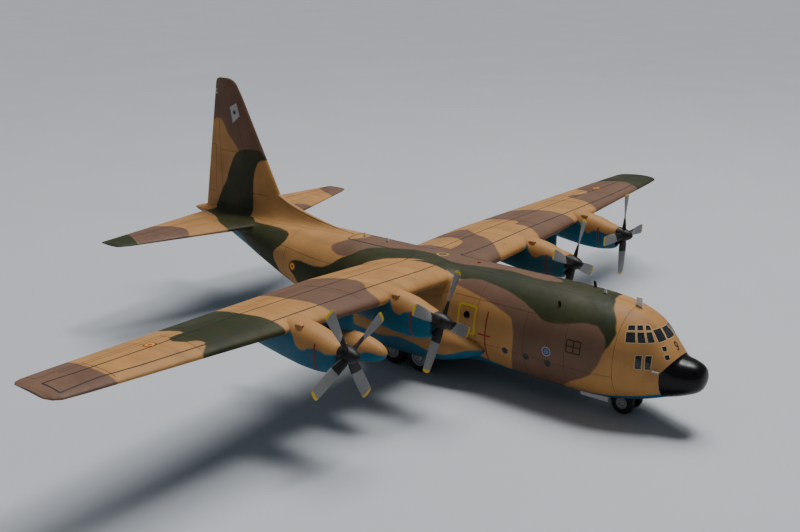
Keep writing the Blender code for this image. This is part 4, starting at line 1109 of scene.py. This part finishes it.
# ---- Nose gear ----------------------------------------------------------------------------
# Twin wheels moulded with one axle, which turns in the foot of a short leg glued in its well. A
# pale door hangs behind them.
NOSE_AXLE = (-3.20, 0, 0.495)
# Starboard wheel and half of the axle: y and radius
NOSE_WHEEL = [(-0.47, 0), (-0.47, 0.10), (-0.47, 0.13), (-0.51, 0.24), (-0.54, 0.30),
              (-0.545, 0.35), (-0.53, 0.40), (-0.50, 0.45), (-0.45, 0.48), (-0.385, 0.495),
              (-0.32, 0.48), (-0.26, 0.45), (-0.23, 0.40), (-0.22, 0.30), (-0.25, 0.14),
              (-0.21, 0.07)]
both_wheels = turned(NOSE_WHEEL + [(-y, r) for y, r in NOSE_WHEEL[::-1]], 1, NOSE_AXLE, 64)
nose_wheels = mesh_object("nose_wheel_pair", *both_wheels, WHEEL)
points = full_size(nose_wheels)
reach = np.hypot(points[:, 0] - NOSE_AXLE[0], points[:, 2] - NOSE_AXLE[2])
store(nose_wheels, radius=reach / 0.24)
tell(nose_wheels, "nose_wheels", ["nose_wheels"])

# ---- Scribed panel lines ------------------------------------------------------------------
# Fine grooves moulded in the skins, darkened with a wash: body joints, flaps, ailerons, rudder,
# elevators and access panels.


def skin_tree(*names):
    """The skins of the named pieces together, to drop lines on, in full-size metres."""
    skins = [obj for obj in bpy.context.scene.objects if obj.name.startswith(names)]
    shapes = ((full_size(o), [tuple(f.vertices) for f in o.data.polygons]) for o in skins)
    return BVHTree.FromPolygons(*joined(*shapes))


def along(corners, step=0.06):
    """A path with points added between its corners."""
    rows = []
    for a, b in zip(corners, corners[1:]):
        count = max(1, int(math.dist(a, b) / step))
        rows += [np.add(a, np.subtract(b, a) * k / count) for k in range(count)]
    return rows + [np.array(corners[-1], float)]


# A run of a line ends where the skin steps by more than this
SKIN_STEP = 0.12


def dropped(tree, corners, aim, back=8.0):
    """Runs of place and outward direction where a path meets the skins along a direction."""
    runs, aim = [[]], np.array(aim, float) / np.linalg.norm(aim)
    for point in along(corners):
        place, outward, _, _ = tree.ray_cast(Vector(point - aim * back), Vector(aim), back + 8)
        step = 0
        if place is not None and runs[-1]:
            step = abs(np.dot(np.array(place) - runs[-1][-1][0], aim))
        if place is None or step > SKIN_STEP:
            runs.append([])
        if place is not None:
            runs[-1].append((np.array(place), np.array(outward)))
    return [run for run in runs if len(run) > 2]


def round_body(corners):
    """Runs on the body along a path of x and degrees round it."""
    runs = []
    for (x0, a0), (x1, a1) in zip(corners, corners[1:]):
        run = []
        count = max(3, int(max(abs(x1 - x0) / 0.06, abs(a1 - a0) / 1.5)))
        for x, a in zip(np.linspace(x0, x1, count), np.linspace(a0, a1, count)):
            half, top, bottom, middle, power = (float(smooth(FUSELAGE, x, i)) for i in range(1, 6))
            c, s = math.cos(math.radians(a)), math.sin(math.radians(a))
            y = -half * math.copysign(abs(c) ** (2 / power), c)
            reach = top - middle if s > 0 else middle - bottom
            z = middle + reach * math.copysign(abs(s) ** (2 / power), s)
            away = np.array((0, y / half**2, (z - middle) / (top - middle) ** 2))
            away /= np.linalg.norm(away)
            start = np.array((x, y, z)) + away * 0.3
            place, outward, _, _ = BODY.ray_cast(Vector(start), Vector(-away), 0.45)
            if place is None:
                runs.append(run)
                run = []
            else:
                run.append((np.array(place), np.array(outward)))
        runs.append(run)
    return [run for run in runs if len(run) > 2]


def scribed_line_tree():
    """Widens paths that lie on a skin into flat strips that face away from it."""
    tree, given = geometry_tree("scribed_line", ("Line width", "Float"), ("Finish", "Material"))
    across, outward = (node(tree, "GeometryNodeInputNamedAttribute", {"Name": label},
                            data_type="FLOAT_VECTOR").outputs["Attribute"]
                       for label in ("across", "outward"))
    half = node(tree, "Math", {0: given["Line width"], 1: -0.5}, operation="MULTIPLY").outputs[0]
    shift = node(tree, "VectorMath", {0: across, "Scale": half}, operation="SCALE").outputs[0]
    edge = node(tree, "GeometryNodeSetPosition",
                {"Geometry": given["Geometry"], "Offset": shift}).outputs[0]
    strip = node(tree, "GeometryNodeExtrudeMesh",
                 {"Mesh": edge, "Offset": across, "Offset Scale": given["Line width"]},
                 mode="EDGES").outputs[0]
    normal = node(tree, "GeometryNodeInputNormal").outputs[0]
    facing = node(tree, "VectorMath", {0: normal, 1: outward},
                  operation="DOT_PRODUCT").outputs["Value"]
    wrong = node(tree, "Math", {0: facing, 1: 0.0}, operation="LESS_THAN").outputs[0]
    turned_up = node(tree, "GeometryNodeFlipFaces", {"Mesh": strip, "Selection": wrong}).outputs[0]
    return end_tree(tree, turned_up, given["Finish"])


SCRIBED_LINE = scribed_line_tree()


def strips(name, runs, wide, look, lift=0.003):
    """One piece of flat strips along all the runs."""
    points, edges, across, outward = [], [], [], []
    for run in runs:
        at, up = np.array([p for p, _ in run]), np.array([n for _, n in run])
        if np.linalg.norm(at[0] - at[-1]) < 0.01:
            ahead, behind = np.roll(at[:-1], -1, 0), np.roll(at[:-1], 1, 0)
            ahead, behind = np.vstack((ahead, ahead[:1])), np.vstack((behind, behind[:1]))
        else:
            ahead = np.vstack((at[1:], 2 * at[-1:] - at[-2:-1]))
            behind = np.vstack((2 * at[:1] - at[1:2], at[:-1]))
        ahead, behind = ahead - at, at - behind
        ahead /= np.linalg.norm(ahead, axis=1, keepdims=True) + 1e-9
        behind /= np.linalg.norm(behind, axis=1, keepdims=True) + 1e-9
        run_on = (ahead + behind) / (np.linalg.norm(ahead + behind, axis=1, keepdims=True) + 1e-9)
        side = np.cross(up, run_on) / np.clip((run_on * ahead).sum(1), 0.6, 1)[:, None]
        edges += [(len(points) + i, len(points) + i + 1) for i in range(len(at) - 1)]
        points += list(at + up * lift)
        across += list(side)
        outward += list(up)
    mesh = bpy.data.meshes.new(name)
    mesh.from_pydata(at_scale(points).tolist(), edges, [])
    for label, rows in (("across", across), ("outward", outward)):
        field = mesh.attributes.new(label, "FLOAT_VECTOR", "POINT")
        field.data.foreach_set("vector", np.array(rows, np.float32).ravel())
    obj = bpy.data.objects.new(name, mesh)
    bpy.context.scene.collection.objects.link(obj)
    grown(obj, SCRIBED_LINE, {"Line width": wide / SCALE, "Finish": look})
    tell(obj)


def part_way(table, y, share, side=1):
    """A point of a wing's plan at a share of the chord forward of the trailing edge."""
    rows = np.array(table)
    le, te = (np.interp(y, rows[:, 0], rows[:, i]) for i in (1, 2))
    return (te + share * (le - te), side * y, 0)


def cuts(table, spans, share, side, ends):
    """A hinge line at a share of the chord, and cuts from it to the trailing edge."""
    lines = [[part_way(table, y, share, side) for y in spans]]
    return lines + [[part_way(table, y, share, side), part_way(table, y, 0.02, side)] for y in ends]


BODY = skin_tree("fuselage_skin", "wing_root_filler", "tail_root_filler", "nose_cap")
TOP = skin_tree("fuselage_skin", "wing_root_filler", "tail_root_filler", "wing_skin",
                "tailplane_skin", "nacelle_skin")
SIDES = skin_tree("fin_skin", "fin_fillet", "fin_root_filler")
PANEL_WASH = plain_paint("panel_wash", (0.050, 0.030, 0.016), (0.5, 0.7),
                         dust=(0.10, 0.06, 0.03, 1), gloss=0.2)
runs = []
for x in (-3.06, -5.02, -6.92, -9.32, -11.02, -17.35, -20.98, -22.9, -25.2, -27.0):
    runs += round_body([(x, -88), (x, 268)])
# Lines along the body: degrees round it, x from and to
ALONG_BODY = ((-14, -3.06, -10.9), (34, -5.02, -10.6), (-14, -17.35, -25.2), (30, -17.35, -22.9),
              (90, -3.06, -4.78), (-62, -3.9, -8.6), (12, -22.9, -28.6), (-90, -4.0, -17.4))
for a, x0, x1 in ALONG_BODY:
    runs += round_body([(x0, a), (x1, a)]) + round_body([(x0, 180 - a), (x1, 180 - a)])
runs += round_body([(-3.95, 194), (-3.30, 194)]) + round_body([(-3.95, 194), (-3.95, 238)])
strips("body_panel_lines", runs, 0.013, PANEL_WASH)
runs = []
for side in (-1, 1):
    for path in cuts(WING, (1.75, 5.59, 12.0, 13.45), 0.25, side, (2.0, 5.0, 7.4, 10.3, 13.45)) \
            + cuts(WING, (13.6, 18.9, 19.62), 0.25, side, (13.6, 19.62)) \
            + [[part_way(WING, y, 0.33, side) for y in (1.75, 5.59, 12.0, 18.9)]] \
            + [[part_way(WING, y, 0.93, side), part_way(WING, y, 0.25, side)]
               for y in (3.4, 6.9, 11.9, 14.6, 17.9)]:
        runs += dropped(TOP, path, (0, 0, -1)) + dropped(TOP, path, (0, 0, 1))
    for path in cuts(TAILPLANE, (0.8, 4.0, 7.4), 0.32, side, (0.9, 4.6, 7.4)) \
            + [[part_way(TAILPLANE, y, 0.37, side) for y in (0.8, 4.0, 7.4)]] \
            + [[part_way(TAILPLANE, y, 0.66, side) for y in (0.9, 4.0, 7.2)]] \
            + [[part_way(TAILPLANE, y, 0.9, side), part_way(TAILPLANE, y, 0.37, side)]
               for y in (2.2, 5.4)]:
        runs += dropped(TOP, path, (0, 0, -1)) + dropped(TOP, path, (0, 0, 1))
    for path in (((-27.50, 0, 10.72), (-27.33, 0, 4.90)),
                 ((-27.95, 0, 5.55), (-27.80, 0, 8.10), (-28.10, 0, 8.12)),
                 ((-27.95, 0, 5.55), (-28.55, 0, 5.55)), ((-27.5, 0, 10.72), (-27.7, 0, 10.72)),
                 ((-24.3, 0, 7.9), (-27.42, 0, 7.9)), ((-23.6, 0, 5.9), (-27.36, 0, 5.9)),
                 ((-26.05, 0, 10.4), (-25.6, 0, 10.4)), ((-24.6, 0, 5.3), (-26.4, 0, 11.0))):
        runs += dropped(SIDES, path, (0, -side, 0))
strips("wing_and_tail_lines", runs, 0.020, PANEL_WASH)
window_runs = []
for side in (-1, 1):
    for pane in SIDE_PANES:
        corners = [(x, 0, z) for x, z in pane]
        window_runs += dropped(BODY_SKIN, corners + corners[:1], (0, -side, 0))
for pane in FRONT_PANES:
    corners = [(0, y, z) for y, z in pane]
    window_runs += dropped(BODY_SKIN, corners + corners[:1], (-1, 0, 0))
# The paler sand along the window edges is a painted highlight, where light catches the edges of the
# openings.
WINDOW_EDGE_HIGHLIGHT = plain_paint("window_edge_highlight_paint", (0.60, 0.40, 0.20))
strips("window_edges", window_runs, 0.030, WINDOW_EDGE_HIGHLIGHT)

# ---- Painted lines and markings -----------------------------------------------------------
# Thin decals pressed on the paint: walkway lines, exit frame, propeller warning lines, ring
# markings, round windows and a plain number. The badges' places hold plain discs.


def faced(obj, outward):
    """Turns an open sheet over if it faces the wrong way."""
    if sum(f.normal.dot(Vector(outward)) * f.area for f in obj.data.polygons) < 0:
        obj.data.flip_normals()


def film(name, tree, grids, look, lift=0.005):
    """Thin film on a skin: grids of points moved along a direction until they meet it."""
    pieces, spots = [], []
    for grid, aim, ring in grids:
        aim = np.array(aim, float) / np.linalg.norm(aim)
        hits = np.zeros(grid.shape)
        for i, j in np.ndindex(grid.shape[:2]):
            place, outward, _, _ = tree.ray_cast(Vector(grid[i, j] - aim * 8), Vector(aim), 16)
            hits[i, j] = np.array(place) + np.array(outward) * lift
        if ring:
            spots.append((hits[0, 0], np.linalg.norm(hits[-1] - hits[0, 0], axis=1).mean()))
        sheet = mesh_object("sheet", *loft(hits, closed=ring, ends=False))
        faced(sheet, -aim)
        pieces.append((full_size(sheet), [tuple(f.vertices) for f in sheet.data.polygons]))
        bpy.data.objects.remove(sheet)
    mesh = bpy.data.meshes.new(name)
    points, faces = joined(*pieces)
    mesh.from_pydata(at_scale(points).tolist(), [], faces)
    mesh.materials.append(look)
    obj = bpy.data.objects.new(name, mesh)
    bpy.context.scene.collection.objects.link(obj)
    soften(obj)
    if spots:
        far = [np.linalg.norm(np.array(points) - spot, axis=1) / size for spot, size in spots]
        store(obj, radius=np.min(far, axis=0))
    tell(obj)


def disc(centre, radius, aim, tall=1.0):
    """Rings of points round a centre, across a direction."""
    first = np.cross(aim, (0, 0, 1) if abs(aim[2]) < 0.9 else (0, 1, 0))
    first, turn = first / np.linalg.norm(first), np.linspace(0, 2 * np.pi, 32, endpoint=False)
    second = np.cross(first, aim) / np.linalg.norm(aim)
    rings = [np.array(centre) + np.outer(np.cos(turn) * r * radius, first)
             + np.outer(np.sin(turn) * r * radius * tall, second)
             for r in (0, 0.2, 0.4, 0.6, 0.8, 0.9, 1)]
    return np.array(rings), aim, True


def panel(corners, aim, count=7):
    """A grid of points between four corners."""
    a, b, c, d = (np.array(p, float) for p in corners)
    share = np.linspace(0, 1, count)
    grid = [[(a * (1 - u) + b * u) * (1 - v) + (d * (1 - u) + c * u) * v for u in share]
            for v in share]
    return np.array(grid), aim, False


def ringed(name, bands, rough=(0.4, 0.55)):
    """A paint in rings: outer radius and colour, from the middle out."""
    look, tree, shader, place = blank(name)
    radius = node(tree, "Attribute", attribute_name="radius").outputs["Fac"]
    colour = bands[0][1]
    for (edge, _), (_, paint) in zip(bands, bands[1:]):
        colour = mixed(tree, fitted(tree, radius, edge - 0.03, edge + 0.03), colour, paint)
    finish_paint(tree, shader, place, colour, 0.94, rough)
    return look


MARKING_BLACK = plain_paint("marking_black", (0.012, 0.011, 0.010), (0.45, 0.6),
                            dust=(0.08, 0.06, 0.04, 1))
MARKING_RED = plain_paint("marking_red", (0.28, 0.016, 0.010), (0.45, 0.6),
                          dust=(0.16, 0.06, 0.03, 1))
MARKING_YELLOW = plain_paint("marking_yellow", (0.62, 0.42, 0.02), (0.45, 0.6),
                             dust=(0.30, 0.18, 0.03, 1))
FRONT_LINE = ((-12.20, 19.75), (-12.28, 18.28), (-12.15, 16.87), (-12.05, 14.27), (-12.02, 10.89),
              (-12.01, 2.48), (-12.12, 0.60))
AFT_LINE = ((-13.18, 19.75), (-13.12, 18.64), (-13.22, 15.67), (-13.60, 11.54), (-13.64, 6.68),
            (-13.80, 0.60))
runs = []
for side in (-1, 1):
    for path in (FRONT_LINE, AFT_LINE, (FRONT_LINE[0], AFT_LINE[0]),
                 ((-12.12, 0.60), (-4.78, 0.60), (-4.78, 0.0)),
                 ((-13.80, 0.60), (-17.90, 0.60), (-17.90, 0.0))):
        runs += dropped(TOP, [(x, side * y, 0) for x, y in path], (0, 0, -1))
strips("walkway_lines", runs, 0.055, MARKING_BLACK, 0.005)
EXIT_FRAME = ((-10.20, 0, 3.62), (-9.36, 0, 3.60), (-9.36, 0, 2.44), (-10.20, 0, 2.46),
              (-10.20, 0, 3.62))
HATCH_GRID = (((-4.94, 0, 3.29), (-4.34, 0, 3.29), (-4.34, 0, 2.79), (-4.94, 0, 2.79),
               (-4.94, 0, 3.29)),
              ((-4.64, 0, 3.29), (-4.64, 0, 2.79)), ((-4.94, 0, 3.04), (-4.34, 0, 3.04)))
runs, red_runs, hatch_runs = [], [], []
for side in (-1, 1):
    runs += dropped(BODY_SKIN, EXIT_FRAME, (0, -side, 0))
    red_runs += dropped(BODY_SKIN, ((-8.74, 0, 3.55), (-8.86, 0, 1.21)), (0, -side, 0))
    red_runs += dropped(BODY_SKIN, ((-9.15, 0, 2.52), (-8.54, 0, 2.52)), (0, -side, 0))
    for path in HATCH_GRID:
        hatch_runs += dropped(BODY_SKIN, path, (0, -side, 0))
strips("exit_frames", runs, 0.10, MARKING_YELLOW, 0.006)
strips("hatch_grids", hatch_runs, 0.05, PANEL_WASH, 0.004)
turn = np.linspace(0, 2 * math.pi, 33)
ring = [(-12.67 + 0.26 * math.cos(a), 0.22 * math.sin(a), 0) for a in turn]
strips("roof_ring", dropped(TOP, ring, (0, 0, -1)), 0.05, MARKING_YELLOW, 0.008)
for name, y, plane_x, axis_z, _ in ENGINES:
    skin = skin_tree("nacelle_skin_" + name)
    for side in (-1, 1):
        line = ((plane_x - 1.15, y, axis_z + 0.30), (plane_x - 1.13, y, axis_z - 0.72))
        red_runs += dropped(skin, line, (0, -side, 0))
strips("warning_lines", red_runs, 0.065, MARKING_RED, 0.006)
# A single plain figure drawn in a unit square, then laid on the slope over the nose
turn = np.linspace(0, 2 * math.pi, 25)
nine = [(0.5 + 0.40 * math.cos(a), 0.70 + 0.26 * math.sin(a)) for a in turn]
nine += [(0.93, 0.55), (0.85, 0.25), (0.62, 0.05), (0.30, 0.03)]
corner, along_foot, up_slope = (np.array(p) for p in ((-1.22, -0.20, 3.21), (0.06, 0.19, -0.05),
                                                      (-0.20, 0.12, 0.27)))
figure = [corner + u * along_foot + v * up_slope for u, v in nine]
strips("nose_number", dropped(BODY_SKIN, figure, (-1, 0, -1)), 0.06, MARKING_BLACK,
       0.005)

RING_RED, RING_YELLOW = (0.34, 0.02, 0.012, 1), (0.66, 0.46, 0.02, 1)
ROUNDEL = ringed("ring_marking", ((0.38, RING_RED), (0.72, RING_YELLOW), (1, RING_RED)))
# The round windows are near-black glossy discs in a thin brown rim: painted shade, standing for the
# unlit cabin behind the glass.
PORTHOLE = ringed("round_window", ((0.80, (0.006, 0.007, 0.008, 1)), (1, (0.05, 0.035, 0.02, 1))),
                  (0.12, 0.2))
PLAIN_BADGE = ringed("plain_badge", ((0.62, (0.10, 0.16, 0.28, 1)), (0.85, (0.02, 0.03, 0.09, 1)),
                                     (1, (0.45, 0.44, 0.42, 1))))
PALE = ringed("pale_marking", ((0.45, (0.02, 0.02, 0.02, 1)), (1, (0.50, 0.50, 0.48, 1))))
# x, z and radius of the round windows
WINDOWS = ((-7.82, 2.07, 0.15), (-6.80, 2.07, 0.15), (-5.78, 2.05, 0.15), (-9.78, 3.20, 0.16),
           (-15.8, 3.10, 0.15), (-17.0, 3.10, 0.15))
FIN_PATCH = ((-26.48, 0, 10.20), (-25.97, 0, 10.46), (-25.74, 0, 9.80), (-26.27, 0, 9.39))
rings, windows, badges, patches, dots, lights, wing_rings = [], [], [], [], [], [], []
for side in (-1, 1):
    aim = (0, -side, 0)
    rings.append(disc((-20.30, 0, 3.25), 0.21, aim))
    badges.append(disc((-5.82, 0, 2.57), 0.20, aim))
    windows += [disc((x, 0, z), r, aim) for x, z, r in WINDOWS]
    wing_rings.append(disc((-13.46, side * 15.5, 0), 0.24, (0, 0, -1)))
    patches.append(panel(FIN_PATCH, aim))
    dots.append(disc((-26.12, 0, 9.96), 0.10, aim))
    lights.append(disc((-27.57, 0, 10.94), 0.085, aim, 1.8))
film("body_rings_marking", BODY_SKIN, rings, ROUNDEL)
film("plain_badges", BODY_SKIN, badges, PLAIN_BADGE)
film("round_windows", BODY_SKIN, windows, PORTHOLE)
film("wing_rings_marking", TOP, wing_rings, ROUNDEL)
film("fin_patch", SIDES, patches, plain_paint("pale_patch", (0.42, 0.42, 0.40)))
film("fin_patch_dot", SIDES, dots, MARKING_BLACK, 0.008)
film("tail_light", SIDES, lights, PALE, 0.02)

# ---- Legs, doors and small fittings -------------------------------------------------------
# Their solids have the right shape already and only need paint: grey legs and probes, a white
# nose-gear door and aerials, black blade aerials, a red lamp, and a blue ramp and door.
WHITE = plain_paint("white_paint", (0.82, 0.83, 0.80), (0.35, 0.5), dust=(0.60, 0.55, 0.48, 1))
LIGHT_BLUE = plain_paint("light_blue_paint", BLUE[:3])
STEEL = plain_paint("leg_grey_paint", (0.34, 0.35, 0.36), (0.35, 0.5))
RED = plain_paint("red_lamp_paint", (0.45, 0.02, 0.015), (0.15, 0.25), coat=0.4)
for wanted, look in (("main_gear_leg", STEEL), ("nose_gear_leg", STEEL),
                     ("nose_gear_door", WHITE), ("cargo", LIGHT_BLUE), ("antenna_white", WHITE),
                     ("antenna_black", GLOSS_BLACK), ("beacon", RED), ("pitot", STEEL)):
    for key, obj in frame["nodes"].items():
        if key.startswith(wanted):
            obj.data.materials.clear()
            obj.data.materials.append(look)

# ---- Floor, lights and camera -------------------------------------------------------------
# A plain pale floor, one wide soft overhead light with a small lamp for the highlights, and a
# camera at the photograph's angle.
floor_look, tree, shader, place = blank("pale_floor")
tone = mixed(tree, noise(tree, place, 6, 4), (0.48, 0.50, 0.53, 1), (0.54, 0.56, 0.59, 1))
tree.links.new(tone, shader.inputs["Base Color"])
shader.inputs["Roughness"].default_value = 0.85
floor_mesh = bpy.data.meshes.new("floor")
floor_mesh.from_pydata([(-25, -25, 0), (25, -25, 0), (25, 25, 0), (-25, 25, 0)], [], [(0, 1, 2, 3)])
floor_mesh.materials.append(floor_look)
floor = bpy.data.objects.new("floor", floor_mesh)
bpy.context.scene.collection.objects.link(floor)

world = bpy.data.worlds.new("studio")
world.use_nodes = True
world.node_tree.nodes["Background"].inputs["Color"].default_value = (0.80, 0.85, 0.92, 1)
world.node_tree.nodes["Background"].inputs["Strength"].default_value = 0.18
bpy.context.scene.world = world
for name, kind, spot, size, power in (("overhead", "SUN", (-0.25, 0.55, 1.6), 0.60, 2.35),
                                      ("lamp", "AREA", (0.25, 0.30, 1.30), 0.30, 7)):
    lamp = bpy.data.lights.new(name, kind)
    lamp.energy = power
    if kind == "SUN":
        lamp.angle = size
    else:
        lamp.size = size
    holder = bpy.data.objects.new(name, lamp)
    holder.location = spot
    holder.rotation_euler = (Vector((0, 0, 0.05))
                             - Vector(spot)).to_track_quat("-Z", "Y").to_euler()
    bpy.context.scene.collection.objects.link(holder)

lens = bpy.data.cameras.new("camera")
lens.lens, lens.sensor_width = 44.93, 36
lens.clip_start, lens.clip_end = 0.01, 50
camera = bpy.data.objects.new("camera", lens)
camera.location = (0.39164, -0.47967, 0.24643)
aim = Vector((-0.01189, 0.00971, 0.04861)) - camera.location
camera.rotation_euler = aim.to_track_quat("-Z", "Y").to_euler()
bpy.context.scene.collection.objects.link(camera)
bpy.context.scene.camera = camera
